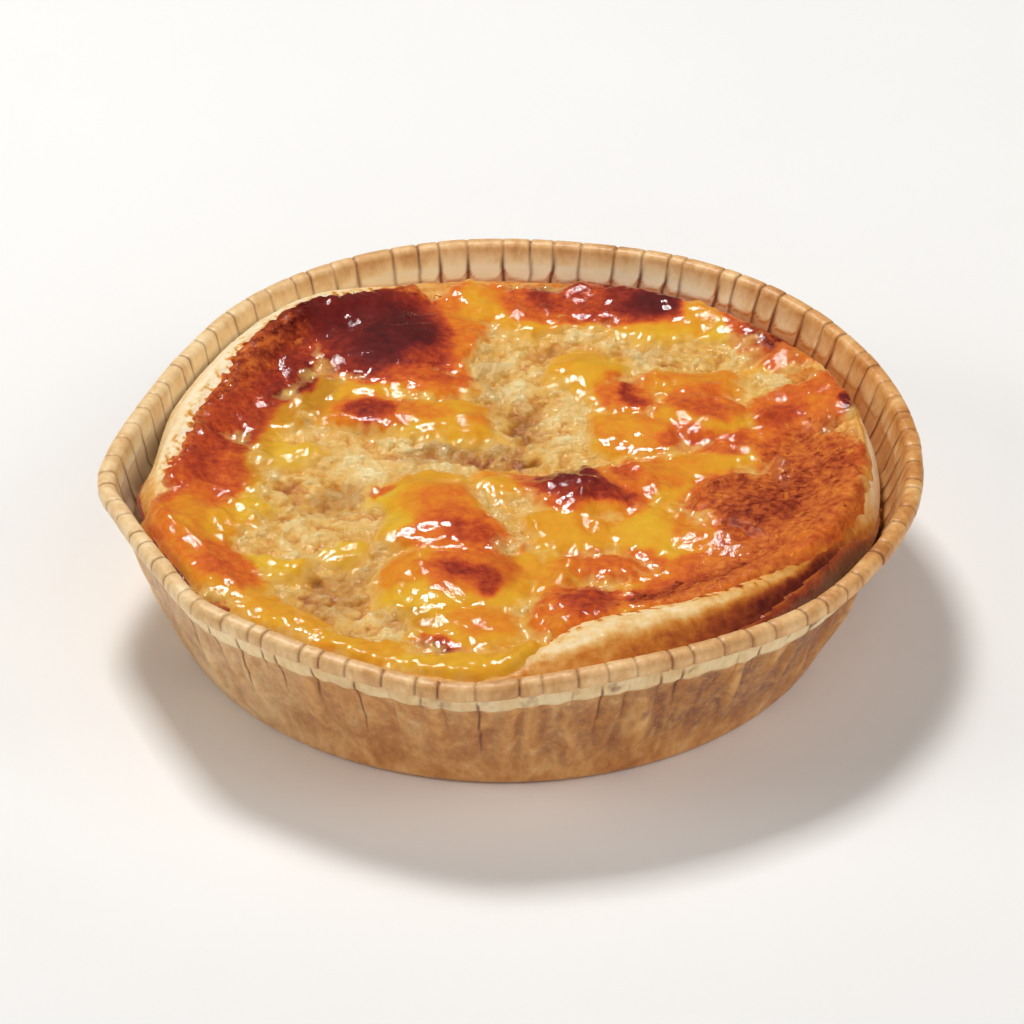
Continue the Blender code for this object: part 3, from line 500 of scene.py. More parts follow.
def cheese_cover(x, y):
    """How far inside the cheese's outline, inside its sheet and from the paper, and how domed.

    A distance is negative outside.
    """
    wx, wy = warped(x, y, 1.3, 6.0, 3, 2)
    wx, wy = warped(wx, wy, 0.45, 1.7, 5, 2)
    sheet = np.full_like(x, -9.0)
    dome = np.zeros_like(x)
    for px, py, half_long, half_wide, turn, height in CHEESE_PATCHES:
        share = spot(wx, wy, px, py, half_long, half_wide, turn)
        sheet = np.maximum(sheet, share * half_wide / 2)
        dome += (np.maximum(share, 0.0) ** 0.8 * height) ** CHEESE_BLEND
    for px, py, half_long, half_wide, turn in WINDOWS:
        sheet = np.minimum(sheet, -spot(wx, wy, px, py, half_long, half_wide, turn) * half_wide / 2)
    degrees, r = polar(x, y)
    crest = closed_curve(CRUST_OUTLINE, degrees, CREST)
    reach = closed_curve(CHEESE_REACH, degrees)
    bare = smooth(-reach / 1.5)
    arc = CRUST_ARC * np.radians(degrees)
    ragged = (0.6 + 0.7 * bare) * waves(arc, r, 2.2, 71, 2) + 0.45 * bare * waves(arc, r, 1.1, 77)
    inside = np.minimum(sheet, crest + reach + ragged - r)
    room = paper_inside(degrees, FILLING_LEVEL) - CHEESE_PAPER_GAP - r
    return inside, sheet, room, dome ** (1 / CHEESE_BLEND)


def browning(x, y):
    """How browned the top is: 0 is pale yellow, 1 nearly black."""
    wx, wy = warped(x, y, 1.5, 5.0, 83)
    tone = np.full_like(x, GOLD)
    for px, py, half_long, half_wide, turn, value, soft in BROWNING:
        share = spot(wx, wy, px, py, 1.1 * half_long, 1.1 * half_wide, turn)
        tone += (value - tone) * smooth(share / soft)
    return tone


def strongest(x, y, places):
    """The highest share of the spots in a list, each times its last value if it has six."""
    wx, wy = warped(x, y, 1.0, 3.0, 91)
    best = np.zeros_like(x)
    for px, py, half_long, half_wide, turn, *weight in places:
        share = smooth(1.3 * spot(wx, wy, px, py, 1.15 * half_long, 1.15 * half_wide, turn))
        best = np.maximum(best, share * (weight[0] if weight else 1.0))
    return best


def glints(x, y):
    """Small slopes towards the light: height to add, and where they are."""
    rise, place = np.zeros_like(x), np.zeros_like(x)
    for px, py, half_long, half_wide, turn in GLINTS:
        near = (np.abs(x - px) < GLINT_BOX) & (np.abs(y - py) < GLINT_BOX)
        gx, gy = x[near], y[near]
        share = smooth(spot(gx, gy, px, py, 1.25 * half_long, 1.25 * half_wide, turn) * 1.6)
        rise[near] += GLINT_RISE * (TO_LIGHT[0] * (gx - px) + TO_LIGHT[1] * (gy - py)) * share
        place[near] = np.maximum(place[near], share)
    return rise, place


def curve_points(knots):
    """Points every 0.4 mm along straight stretches between the knots, eased at the bends."""
    knots = np.array(knots, float)
    length = np.concatenate([[0.0], np.cumsum(np.hypot(*np.diff(knots, axis=0).T))])
    at = np.arange(0.0, length[-1], 0.4)
    points = np.stack([np.interp(at, length, knots[:, 0]), np.interp(at, length, knots[:, 1])], axis=1)
    for _ in range(8):
        points[1:-1] = (points[:-2] + 2 * points[1:-1] + points[2:]) / 4
    return points


def folds(x, y):
    """Threads, ridges and grooves that run along curves."""
    wx, wy = warped(x, y, 0.7, 3.0, 97)
    total = np.zeros_like(x)
    for height, width, *knots in FOLDS:
        points = curve_points(knots)
        low, high = points.min(axis=0) - 4, points.max(axis=0) + 4
        near = (x > low[0]) & (x < high[0]) & (y > low[1]) & (y < high[1])
        away = np.full(near.sum(), 9.0)
        end = np.zeros(near.sum())
        for k, (px, py) in enumerate(points):
            d = np.hypot(wx[near] - px, wy[near] - py)
            closer = d < away
            away = np.where(closer, d, away)
            end = np.where(closer, min(k, len(points) - 1 - k), end)
        total[near] += height * np.exp(-((away / width) ** 2)) * smooth((end + 1) / 5)
    return total


def curd_layer(x, y, size, seed):
    """Round lumps from 0 to 1 high, some higher than others."""
    near, mark = cells(x, y, size, seed)
    return np.sqrt(np.clip(1 - (near / 0.8) ** 2, 0.0, 1.0)) * (0.3 + 0.7 * mark)


def filling_relief(x, y):
    """Curds of several sizes, squeezed into each other, over broad hollows."""
    wx, wy = warped(x, y, 0.9, 3.2, 11)
    broad = 0.9 * waves(x, y, 9.0, 23, 2) + 0.5 * waves(x, y, 4.0, 24, 2)
    fine = waves(x, y, 0.9, 25)
    lumps = 1.20 * curd_layer(wx, wy, 2.7, 21) + 0.70 * curd_layer(wx, wy, 1.25, 22)
    return lumps + broad + 0.10 * fine - 0.85


# ---------------------------------------------------------------- meshes

def as_points(x, y, z):
    return np.stack([x.ravel(), y.ravel(), z.ravel()], axis=1)


def add_mesh(name, points, faces, attributes, cap=()):
    """A smooth object from arrays of points in mm and quads, with float attributes.

    The cap, if given, is one more face, by its points' numbers.
    """
    mesh = bpy.data.meshes.new(name)
    mesh.vertices.add(len(points))
    mesh.vertices.foreach_set("co", (np.asarray(points, float) * MM).ravel())
    corners = np.concatenate([faces.ravel(), np.asarray(cap, int)]).astype(np.int32)
    starts = np.arange(len(faces) + (len(cap) > 0), dtype=np.int32) * faces.shape[1]
    mesh.loops.add(len(corners))
    mesh.loops.foreach_set("vertex_index", corners)
    mesh.polygons.add(len(starts))
    mesh.polygons.foreach_set("loop_start", starts)
    mesh.update(calc_edges=True)
    mesh.validate()
    mesh.shade_smooth()
    for key, values in attributes.items():
        layer = mesh.attributes.new(key, "FLOAT", "POINT")
        layer.data.foreach_set("value", np.asarray(values, np.float32).ravel())
    obj = bpy.data.objects.new(name, mesh)
    bpy.context.scene.collection.objects.link(obj)
    return obj


def ring_faces(rows, columns):
    """Quads of a grid of rows by columns that closes round on its columns."""
    i, j = np.meshgrid(np.arange(rows - 1), np.arange(columns), indexing="ij")
    following = (j + 1) % columns
    corners = (i * columns + j, i * columns + following,
               (i + 1) * columns + following, (i + 1) * columns + j)
    return np.stack([c.ravel() for c in corners], axis=1)


def sheet_faces(keep):
    """Quads of the kept cells of a square grid, and the numbers of the points they use."""
    i, j = np.nonzero(keep)
    wide = keep.shape[1] + 1
    quads = np.stack([i * wide + j, i * wide + j + 1,
                      (i + 1) * wide + j + 1, (i + 1) * wide + j], axis=1)
    used, inverse = np.unique(quads, return_inverse=True)
    return inverse.reshape(quads.shape), used


def boundary(quads):
    """The directed edges that only one quad has."""
    edges = np.concatenate([quads[:, [a, (a + 1) % 4]] for a in range(4)])
    key = np.sort(edges, axis=1)
    _, index, count = np.unique(key, axis=0, return_index=True, return_counts=True)
    return edges[index[count == 1]]


def closed_sheet(name, x, y, top, bottom, keep, attributes):
    """A closed skin from a top and a bottom height field over the kept cells."""
    quads, used = sheet_faces(keep)
    upper = as_points(x, y, top)[used]
    lower = as_points(x, y, bottom)[used]
    rim = boundary(quads)
    n = len(used)
    sides = np.stack([rim[:, 1], rim[:, 0], rim[:, 0] + n, rim[:, 1] + n], axis=1)
    faces = np.concatenate([quads, quads[:, ::-1] + n, sides])
    both = {k: np.tile(v.ravel()[used], 2) for k, v in attributes.items()}
    return add_mesh(name, np.concatenate([upper, lower]), faces, both)


def ordered_loop(edges):
    """The points of one closed loop of directed edges, in order."""
    following = dict(edges.tolist())
    first = edges[0, 0]
    loop = [first]
    while following[loop[-1]] != first:
        loop.append(following[loop[-1]])
    return loop


def capped_sheet(name, x, y, top, floor, keep, attributes):
    """A closed body from a top height field, sides that taper and one flat face underneath."""
    quads, used = sheet_faces(keep)
    upper = as_points(x, y, top)[used]
    loop = ordered_loop(boundary(quads))
    n = len(used)
    lower = upper[loop] * (FILLING_TAPER, FILLING_TAPER, 0) + (0, 0, floor)
    under = n + np.arange(len(loop))
    sides = np.stack([np.roll(loop, -1), loop, under, np.roll(under, -1)], axis=1)
    values = {k: np.concatenate([v.ravel()[used], v.ravel()[used][loop]]) for k, v in attributes.items()}
    faces = np.concatenate([quads, sides])
    return add_mesh(name, np.concatenate([upper, lower]), faces, values, under[::-1])


def square_grid(reach, step):
    """x and y of the points of a square grid about the middle."""
    ticks = np.arange(-reach, reach + step / 2, step)
    return np.meshgrid(ticks, ticks)


def cells_where(mask):
    """Grid cells with at least one corner in the mask."""
    return mask[:-1, :-1] | mask[1:, :-1] | mask[:-1, 1:] | mask[1:, 1:]


def make_filling():
    """The curds, with a flat face underneath on the crust's floor."""
    x, y = square_grid(51.0, FILLING_GRID)
    sheet = cheese_cover(x, y)[1]
    degrees, r = polar(x, y)
    lip = closed_curve(CRUST_OUTLINE, degrees, CREST) - CRUST_LIP
    bare = smooth(1.0 - sheet)
    relief = filling_relief(x, y)
    core = top_of_core(x, y)
    top = core + relief * (0.35 + 0.65 * bare) - 0.3 * (1 - bare) - 0.9 * smooth(r - lip + 1.2)
    bottom = PAPER + 2 * SOLID_GAP + CRUST_FLOOR
    keep = cells_where(r < lip)
    # Colour by height: crevices and low places painted darker as shade, tops paler as light, with broad
    # noise for the filling's own tone.
    shade = 0.8 * relief + 0.3 * (core - FILLING_LEVEL) + 0.3 * waves(x, y, 6.0, 26, 3)
    return capped_sheet("filling_curds", x, y, top, bottom, keep, {
        "relief": shade, "soaked_and_shaded": strongest(x, y, SOAKED_AND_SHADED), "near": smooth(sheet / 4 + 1)})


def flakes(x, y):
    """Streaks that run round the crust, from -1 to 1."""
    arc = STREAK_ARC * np.arctan2(y, x)
    r = np.hypot(x, y)
    return waves(arc / 5.0, r / 1.0 + 0.6 * waves(x, y, 6.0, 62, 2), 1.0, 61, 3)


def cheese_top(x, y):
    """Height of the cheese's upper side, the core under it, and what the material needs."""
    inside, sheet, room, dome = cheese_cover(x, y)
    tone = browning(x, y)
    flaky = strongest(x, y, FLAKY) * smooth((tone - 0.3) / 0.25)
    streak = flakes(x, y)
    rise, place = glints(x, y)
    skin = CHEESE_SKIN * (1 - np.exp(-np.maximum(inside, 0.0) / 0.8)) + 1.6 * np.minimum(inside, 0.0)
    thick = smooth(inside / 2.4)
    body = 0.40 * waves(x, y, 8.0, 31, 2) + 0.12 * waves(x, y, 3.4, 32, 2)
    margin = smooth((np.hypot(x, y) - 44) / 5)
    wrinkle = 0.20 * waves(x, y, 2.5, 33, 2) + 0.10 * waves(x, y, 1.4, 34)
    wrinkle = wrinkle * (0.35 + 0.65 * np.maximum(place, margin))
    crackle = (0.07 * streak + 0.05 * waves(x, y, 1.1, 35, 2)) * flaky
    relief = filling_relief(x, y) * (1 - 0.94 * smooth(sheet / 2.8)) * smooth(inside + 1.6)
    core = top_of_core(x, y)
    detail = (body + wrinkle + crackle + rise + folds(x, y)) * thick
    shoulder = smooth(room / 0.8)
    top = core + (skin + 0.75 * dome * thick + detail) * shoulder + relief + 1.5 * np.minimum(room, 0.0)
    tone = tone + 0.12 * streak * flaky
    return top, core, {
        "tone": tone, "inside": np.minimum(inside, room), "sheet": sheet, "flaky": flaky,
        "soaked_and_shaded": strongest(x, y, SOAKED_AND_SHADED), "glint": place}


def make_cheese():
    """The sheet of melted cheese, open where the filling or the crust is bare."""
    x, y = square_grid(58.0, CHEESE_GRID)
    top, core, marks = cheese_top(x, y)
    bottom = np.minimum(top - 0.3, core - 0.9)
    keep = cells_where(marks["inside"] > -1.2)
    degrees, r = polar(x, y)
    keep &= cells_where(r < paper_inside(degrees, top) - PLEAT_DEPTH - 0.5)
    return closed_sheet("melted_cheese", x, y, top, bottom, keep, marks)


def crust_section(degrees):
    """Closed section of the crust at each angle: radius and height rows, inner foot first."""
    crest = closed_curve(CRUST_OUTLINE, degrees, CREST)
    edge, edge_height = crust_edge(degrees)
    lip = crest - CRUST_LIP
    rows = [(lip * 0 + CRUST_FLOOR_RADIUS, lip * 0 + PAPER + SOLID_GAP + CRUST_FLOOR)]
    rows.append((lip - 1.0, top_of_core(*around(lip - 1.0, degrees)) - 1.2))
    top = [("in", t) for t in np.linspace(0, 1, 26)] + [("out", t) for t in np.linspace(0, 1, 16)[1:]]
    for side, t in top:
        r = lip + (crest - lip) * t if side == "in" else crest + (edge - crest) * t
        rows.append((r, top_of_core(*around(r, degrees))))
    for drop in (0.3, 0.8, 1.6, 3.0, 6.0, 10.0):
        height = edge_height - drop
        rows.append((paper_inside(degrees, height) - (paper_inside(degrees, edge_height) - edge), height))
    rows.append((edge * 0 + CRUST_TURN[0], edge * 0 + CRUST_TURN[1]))
    rows.append((edge * 0 + CRUST_FOOT_RADIUS, edge * 0 + PAPER + SOLID_GAP))
    return rows


def make_crust():
    """The pastry, with layers along its bare crest and burnt specks beside the cheese."""
    degrees = np.arange(CRUST_COLUMNS) * 360.0 / CRUST_COLUMNS
    r, z = (np.array(part) for part in zip(*crust_section(degrees)))
    x, y = around(r, degrees)
    crest = closed_curve(CRUST_OUTLINE, degrees, CREST)
    edge = crust_edge(degrees)[0]
    out = (r - crest) / np.maximum(edge - crest, 1.0)
    arc = CRUST_ARC * np.radians(degrees) + 0 * z
    layers = waves(arc / 5.0, out * 3.2 + 0.3 * waves(arc, z, 5.0, 53), 1.0, 52, 3)
    crumbly = waves(arc, out * 3.0, 1.6, 51, 3)
    visible = smooth((r - crest + CRUST_LIP) / 1.5) * smooth((z - 15.0) / 4.0)
    z = z + (0.30 * layers + 0.16 * crumbly - 0.15) * visible
    down = smooth(2.8 * out - 0.3)
    crest_tone, edge_tone, shine = closed_curves(CRUST_TONES, degrees)
    tone = crest_tone * (1 - down) + edge_tone * down
    reach = closed_curve(CHEESE_REACH, degrees)
    near_cheese = smooth((crest + reach + 3.0 - r) / 3.0) * smooth(-reach / 1.5)
    burnt = smooth((waves(arc, out * 3.0, 1.3, 58, 3) - 0.05) / 0.3)
    tone = tone + 0.16 * layers + 0.08 * crumbly + 0.55 * burnt * near_cheese
    marks = {"tone": tone, "gloss": smooth(out * 1.5) * shine}
    return add_mesh("pastry_crust", as_points(x, y, z), ring_faces(*r.shape), marks)


def case_section(roll_r, degrees):
    """The case's section at each angle, from under its middle up and back down inside.

    It gives radius, height and side, which is 0 outside, 1 on the roll and 2 inside.
    """
    rows = []

    def wall_radius(height, thickness):
        foot = BASE_RADIUS - thickness
        top = roll_r - ROLL_RADIUS + (PAPER - thickness)
        t = np.clip((height - BASE_TURN) / (ROLL_RISE - BASE_TURN), 0.0, 1.0)
        return foot + (top - foot) * t + wall_swell(degrees, t)

    def add(r, z, side):
        rows.append((r + 0 * degrees, z + 0 * degrees, side + 0 * degrees))

    for share in (0.0, 0.4, 0.8):
        add((BASE_RADIUS - BASE_TURN) * share, 0.0, 0.0)
    for a in np.radians(np.linspace(-90, -10, 5)):
        add(BASE_RADIUS + BASE_TURN * (math.cos(a) - 1), BASE_TURN * (1 + math.sin(a)), 0.0)
    wall = np.concatenate([np.linspace(2.6, 17.6, 11)[:-1], np.linspace(17.6, 23.5, 16)])
    for height in wall:
        add(wall_radius(height, 0.0), height, 0.0)
    for a in np.radians(np.linspace(-104, 168, 18)):
        out, up = (math.copysign(abs(v) ** ROLL_SQUARENESS, v) for v in (math.cos(a), math.sin(a)))
        add(roll_r + ROLL_RADIUS * out, ROLL_RISE + ROLL_RADIUS * up, 1.0)
    for height in wall[::-1][1:]:
        add(wall_radius(height, PAPER), height, 2.0)
    for a in np.radians(np.linspace(-10, -90, 4)):
        inner = BASE_TURN - PAPER
        add(BASE_RADIUS - BASE_TURN + inner * math.cos(a), BASE_TURN + inner * math.sin(a), 2.0)
    for share in (0.8, 0.4, 0.0):
        add((BASE_RADIUS - BASE_TURN) * share, PAPER, 2.0)
    return (np.array(part) for part in zip(*rows))


def make_case():
    """The pleated paper case: wall, rolled rim, the strip under the rim, stains, and painted light and
    shade.
    """
    number = np.arange(PLEATS)
    creases = (number + 0.5 * draw_row(number, 61)) * 360.0 / PLEATS
    widths = np.diff(np.append(creases, creases[0] + 360.0))
    degrees = (creases[:, None] + widths[:, None] * np.array(PLEAT_STEPS)).ravel()
    columns = len(degrees)
    angle = np.radians(degrees)
    apart = np.mod(degrees[:, None] - creases[None, :] + 180.0, 360.0) - 180.0
    which = np.argmin(np.abs(apart), axis=1)
    away = apart[np.arange(columns), which] * math.pi / 180 * CASE_ARC
    segment = np.mod(which + (away > 0), PLEATS)
    strength = 0.45 + 0.55 * draw_row(which, 62)
    shift = 0.14 * (draw_row(segment, 63) - 0.5)
    roll_r = closed_curve(ROLL_OUTLINE, degrees)
    wave = closed_curve(ROLL_WAVE, degrees)
    r, z, side = case_section(roll_r, degrees)
    climb = np.clip(z / ROLL_RISE, 0.0, 1.0)
    on_roll, inner = side == 1.0, side == 2.0

    # relief: pinched creases, folds down the wall, the strip under the roll
    wander = away + 0.5 * waves(which * 7.3 + 0 * z, z / 3.5, 1.0, 66, 2) * (1 - on_roll)
    pinch = 1 - PINCH * np.exp(-((away / CREASE_WIDTH) ** 2)) * strength
    r_roll = roll_r + (r - roll_r) * pinch + shift
    z_roll = ROLL_RISE + (z - ROLL_RISE) * pinch
    arc = CASE_ARC * angle + 0 * z
    folded, creased, juice, smudged = closed_curves(WALL_FOLDS, degrees)
    between = smooth(climb / 0.35) * smooth((0.80 - climb) / 0.12)
    ridge = np.abs(waves(arc / 4.6 + 0.25 * waves(arc / 9, z / 8, 1.0, 73), z / 30.0, 1.0, 64, 2))
    valley = (1 - smooth(ridge / 0.60)) * between * folded
    scallop = ROLL_RISE - STRIP_HEIGHT - 0.5 * (1 - np.exp(-((away / 1.6) ** 2))) + 0.5 * shift
    strip = smooth((z - scallop) / 0.35) * (side == 0.0)
    dent = (0.30 * strength * np.exp(-((wander / 0.45) ** 2)) + 0.3 * shift) * climb
    pressed = np.minimum(dent + FOLD_DEPTH * valley, np.where(inner, *DEEPEST_FOLD))
    r = np.where(on_roll, r_roll, r - pressed + STRIP_RISE * strip)
    z = np.where(on_roll, z_roll, z) + wave * climb**2

    # marks: dark creases, smudges with painted shade in the fold valleys, what has boiled over inside, and
    # paleness that is partly painted light
    line = np.exp(-((wander / np.where(inner, INNER_CREASE_WIDTH, CREASE_WIDTH)) ** 2))
    dark = draw_row(which, 67) + 0.1
    outer_dark = smooth((dark + creased - 1.0) / 0.3)
    low_end = 0.20 + 0.45 * draw_row(which, 68)
    down = smooth((climb - low_end) / 0.25) * smooth((0.90 - climb) / 0.1)
    splash = draw_row(which, 69)
    inner_dark = 0.45 + 0.7 * juice * (0.35 + 0.65 * smooth((splash - 0.35) / 0.3))
    outer_crease = np.where(on_roll, 0.8 * line * strength, line * outer_dark * down)
    crease = np.where(inner, line * inner_dark, outer_crease)
    level = closed_curve(CRUST_OUTLINE, degrees, EDGE_HEIGHT) + 0.4
    level = level + 0.4 * waves(arc / 4.0, 0 * arc, 1.0, 70, 2) + wave
    level = level + 1.5 * np.exp(-((away / 0.7) ** 2)) * smooth((splash - 0.2) / 0.5)
    line_of_juice = np.exp(-(((z - level) / 0.32) ** 2))
    # On the paper this mark is juice alone.
    soaked_and_shaded = inner * juice * np.maximum(line_of_juice, 0.55 * smooth((level - z) / 0.4))
    patch = waves(arc / 3.2, z / 3.6, 1.0, 71, 3)
    smudge_and_painted_fold_shade = smooth((patch - 0.16) / 0.30) * smudged
    # The fold valleys outside are darkened too, which is painted shade; the patches above are real smudges.
    smudge_and_painted_fold_shade = np.maximum(smudge_and_painted_fold_shade, valley) * (side == 0.0)
    # Painted light: the left side of the outer wall and roll is painted paler, as if lit, and the roll
    # darker towards the right, as shade. The inside is painted paler, up to near white, to lift its shade,
    # less so towards the right. The strip under the roll is paler paper.
    right = smooth((np.cos(angle - math.radians(5)) - 0.55) / 0.4)
    left = smooth((-np.cos(angle) - 0.3) / 0.5)
    outer_pale_and_painted_light = np.maximum(0.95 * strip, 0.45 * left)
    roll_pale_and_painted_light = 0.3 - 0.3 * right + 0.4 * left
    pale = np.where(inner, 1.3 - 0.9 * right, np.where(on_roll, roll_pale_and_painted_light, outer_pale_and_painted_light))
    x, y = around(r, degrees)
    marks = {"crease": crease, "pale": pale, "soaked_and_shaded": soaked_and_shaded, "smudge_and_painted_fold_shade": smudge_and_painted_fold_shade * smooth(climb / 0.3)}
    return add_mesh("baking_case", as_points(x, y, z), ring_faces(*r.shape), marks)


def make_juice():
    """Juice that has boiled over the crust and caramelised."""
    degrees = np.arange(180.0, 358.0, 0.42)
    share, degrees = np.meshgrid(np.linspace(0.12, 1.12, 18), degrees, indexing="ij")
    crest = closed_curve(CRUST_OUTLINE, degrees, CREST)
    edge = crust_edge(degrees)[0]
    r = crest + (edge - crest) * share
    x, y = around(r, degrees)
    start = closed_curve(JUICE_START, degrees)
    depth = (share - start) * 3.0 + 0.35 * waves(x, y, 3.0, 82, 3)
    surface = top_of_core(x, y)
    top = surface + 0.55 * (1 - np.exp(-np.maximum(depth, 0.0) * 1.6)) - 0.3 * (depth < 0)
    top += (0.34 * waves(x, y, 1.7, 83, 2) + 0.12 * waves(x, y, 0.9, 84)) * smooth(depth)
    keep = cells_where(depth > -0.15)
    return closed_sheet("caramelised_juice", x, y, top, surface - 0.7, keep, {"depth": depth})


def make_flakes():
    """Loose flakes of browned pastry on the dry parts of the top."""
    tries = 5 * np.arange(FLAKE_TRIES)
    x = 2 * FLAKE_REACH * draw_row(tries, 84) - FLAKE_REACH
    y = 2 * FLAKE_REACH * draw_row(tries, 84, 1) - FLAKE_REACH
    _, _, marks = cheese_top(x, y)
    good = (marks["flaky"] > 0.35) & (marks["inside"] > 0.8)
    x, y, tries = x[good], y[good], tries[good]
    lot = [draw_row(tries, 85, k) for k in range(6)]
    half_long = 0.35 + 0.7 * lot[0] ** 2
    half_wide = half_long * (0.2 + 0.3 * lot[1])
    turn = np.arctan2(y, x) + math.pi / 2 + 1.6 * (lot[2] - 0.5)
    u, v = np.meshgrid(np.linspace(-1, 1, 4), np.linspace(-1, 1, 3))
    u, v = np.tile(u, (len(x), 1)), np.tile(v, (len(x), 1))

    def each(values):
        return np.repeat(values, 3)[:, None]

    along = u * each(half_long) * (1 + 0.35 * v * each(lot[5] - 0.5))
    across = v * each(half_wide) * (1 + 0.8 * u * each(lot[4] - 0.5))
    px = each(x) + along * np.cos(each(turn)) - across * np.sin(each(turn))
    py = each(y) + along * np.sin(each(turn)) + across * np.cos(each(turn))
    surface = cheese_top(px, py)[0]
    top = surface + 0.05 + 0.16 * each(lot[3]) * u * np.abs(u)
    rows = len(px) - 1
    keep = np.tile((np.arange(rows) % 3 < 2)[:, None], (1, 3))
    tone = each(marks["tone"][good] + 0.24 * (lot[4] - 0.6)) + 0 * px
    return closed_sheet("pastry_flakes", px, py, top, surface - 0.15, keep, {
        "tone": tone, "flaky": 0 * px + 1, "sheet": 0 * px + 9, "soaked_and_shaded": 0 * px, "glint": 0 * px})


# ---------------------------------------------------------------- materials

def srgb(r, g, b):
    """A linear colour from screen values of 10 to 255."""
    return tuple(((c / 255 + 0.055) / 1.055) ** 2.4 for c in (r, g, b)) + (1.0,)


class Nodes:
    """Short ways to add the nodes a material is made of."""

    def __init__(self, name):
        self.material = bpy.data.materials.new(name)
        self.material.use_nodes = True
        self.tree = self.material.node_tree
        self.shader = self.tree.nodes["Principled BSDF"]
        self.place = self.add("ShaderNodeTexCoord").outputs["Object"]

    def add(self, kind):
        return self.tree.nodes.new(kind)

    def link(self, source, target):
        if isinstance(source, (int, float)):
            target.default_value = source
        else:
            self.tree.links.new(source, target)

    def attribute(self, name):
        node = self.add("ShaderNodeAttribute")
        node.attribute_name = name
        return node.outputs["Fac"]

    def noise(self, size_mm, detail=3.0, roughness=0.55, distortion=0.0, flatten=1.0):
        """Noise from 0 to 1; flatten above 1 makes its features wider than they are high."""
        squash = self.add("ShaderNodeMapping")
        squash.inputs["Scale"].default_value = (1.0, 1.0, flatten)
        self.tree.links.new(self.place, squash.inputs["Vector"])
        node = self.add("ShaderNodeTexNoise")
        node.inputs["Scale"].default_value = 1000.0 / size_mm
        node.inputs["Detail"].default_value = detail
        node.inputs["Roughness"].default_value = roughness
        node.inputs["Distortion"].default_value = distortion
        self.tree.links.new(squash.outputs["Vector"], node.inputs["Vector"])
        return node.outputs["Fac"]

    def lumps(self, size_mm):
        """Distance from the middle of the nearest of many rounded lumps."""
        node = self.add("ShaderNodeTexVoronoi")
        node.feature = "SMOOTH_F1"
        node.inputs["Scale"].default_value = 1000.0 / size_mm
        node.inputs["Smoothness"].default_value = 0.3
        self.tree.links.new(self.place, node.inputs["Vector"])
        return node.outputs["Distance"]

    def math(self, operation, a, b):
        node = self.add("ShaderNodeMath")
        node.operation = operation
        for value, socket in zip((a, b), node.inputs):
            self.link(value, socket)
        return node.outputs[0]

    def span(self, value, low, high, to_low=0.0, to_high=1.0):
        """The value carried over from low..high to to_low..to_high, and kept inside it."""
        node = self.add("ShaderNodeMapRange")
        for v, key in ((value, "Value"), (low, "From Min"), (high, "From Max"),
                       (to_low, "To Min"), (to_high, "To Max")):
            self.link(v, node.inputs[key])
        return node.outputs["Result"]

    def flicker(self, amount, *noise):
        """Noise from about -amount to amount."""
        return self.span(self.noise(*noise), 0.3, 0.7, -amount, amount)

    def ramp(self, value, stops):
        node = self.add("ShaderNodeValToRGB")
        elements = node.color_ramp.elements
        while len(elements) < len(stops):
            elements.new(0.5)
        for element, (position, colour) in zip(elements, stops):
            element.position = position
            element.color = colour
        self.link(value, node.inputs["Fac"])
        return node.outputs["Color"]

    def mix(self, amount, a, b, blend="MIX"):
        node = self.add("ShaderNodeMix")
        node.data_type = "RGBA"
        node.blend_type = blend
        self.link(amount, node.inputs["Factor"])
        sockets = [s for s in node.inputs if s.type == "RGBA"]
        for value, socket in zip((a, b), sockets):
            if isinstance(value, tuple):
                socket.default_value = value
            else:
                self.tree.links.new(value, socket)
        return [s for s in node.outputs if s.type == "RGBA"][0]

    def bump(self, height, distance_mm, before=None):
        node = self.add("ShaderNodeBump")
        node.inputs["Distance"].default_value = distance_mm * MM
        self.link(height, node.inputs["Height"])
        if before is not None:
            self.link(before, node.inputs["Normal"])
        return node.outputs["Normal"]

    def finish(self, colour, roughness, normal=None, coat=None, **constants):
        """Links what varies to the shader, sets its constants and returns the material."""
        self.link(colour, self.shader.inputs["Base Color"])
        if coat is not None:
            self.link(coat, self.shader.inputs["Coat Weight"])
        self.link(roughness, self.shader.inputs["Roughness"])
        if normal is not None:
            self.link(normal, self.shader.inputs["Normal"])
            self.link(normal, self.shader.inputs["Coat Normal"])
        for key, value in constants.items():
            self.shader.inputs[key.replace("_", " ")].default_value = value
        return self.material


# A darker tint multiplied over the cheese and filling: painted shade in hollows, and juice in thin places.
SOAK_AND_SHADE_TINT = (0.62, 0.46, 0.34, 1.0)


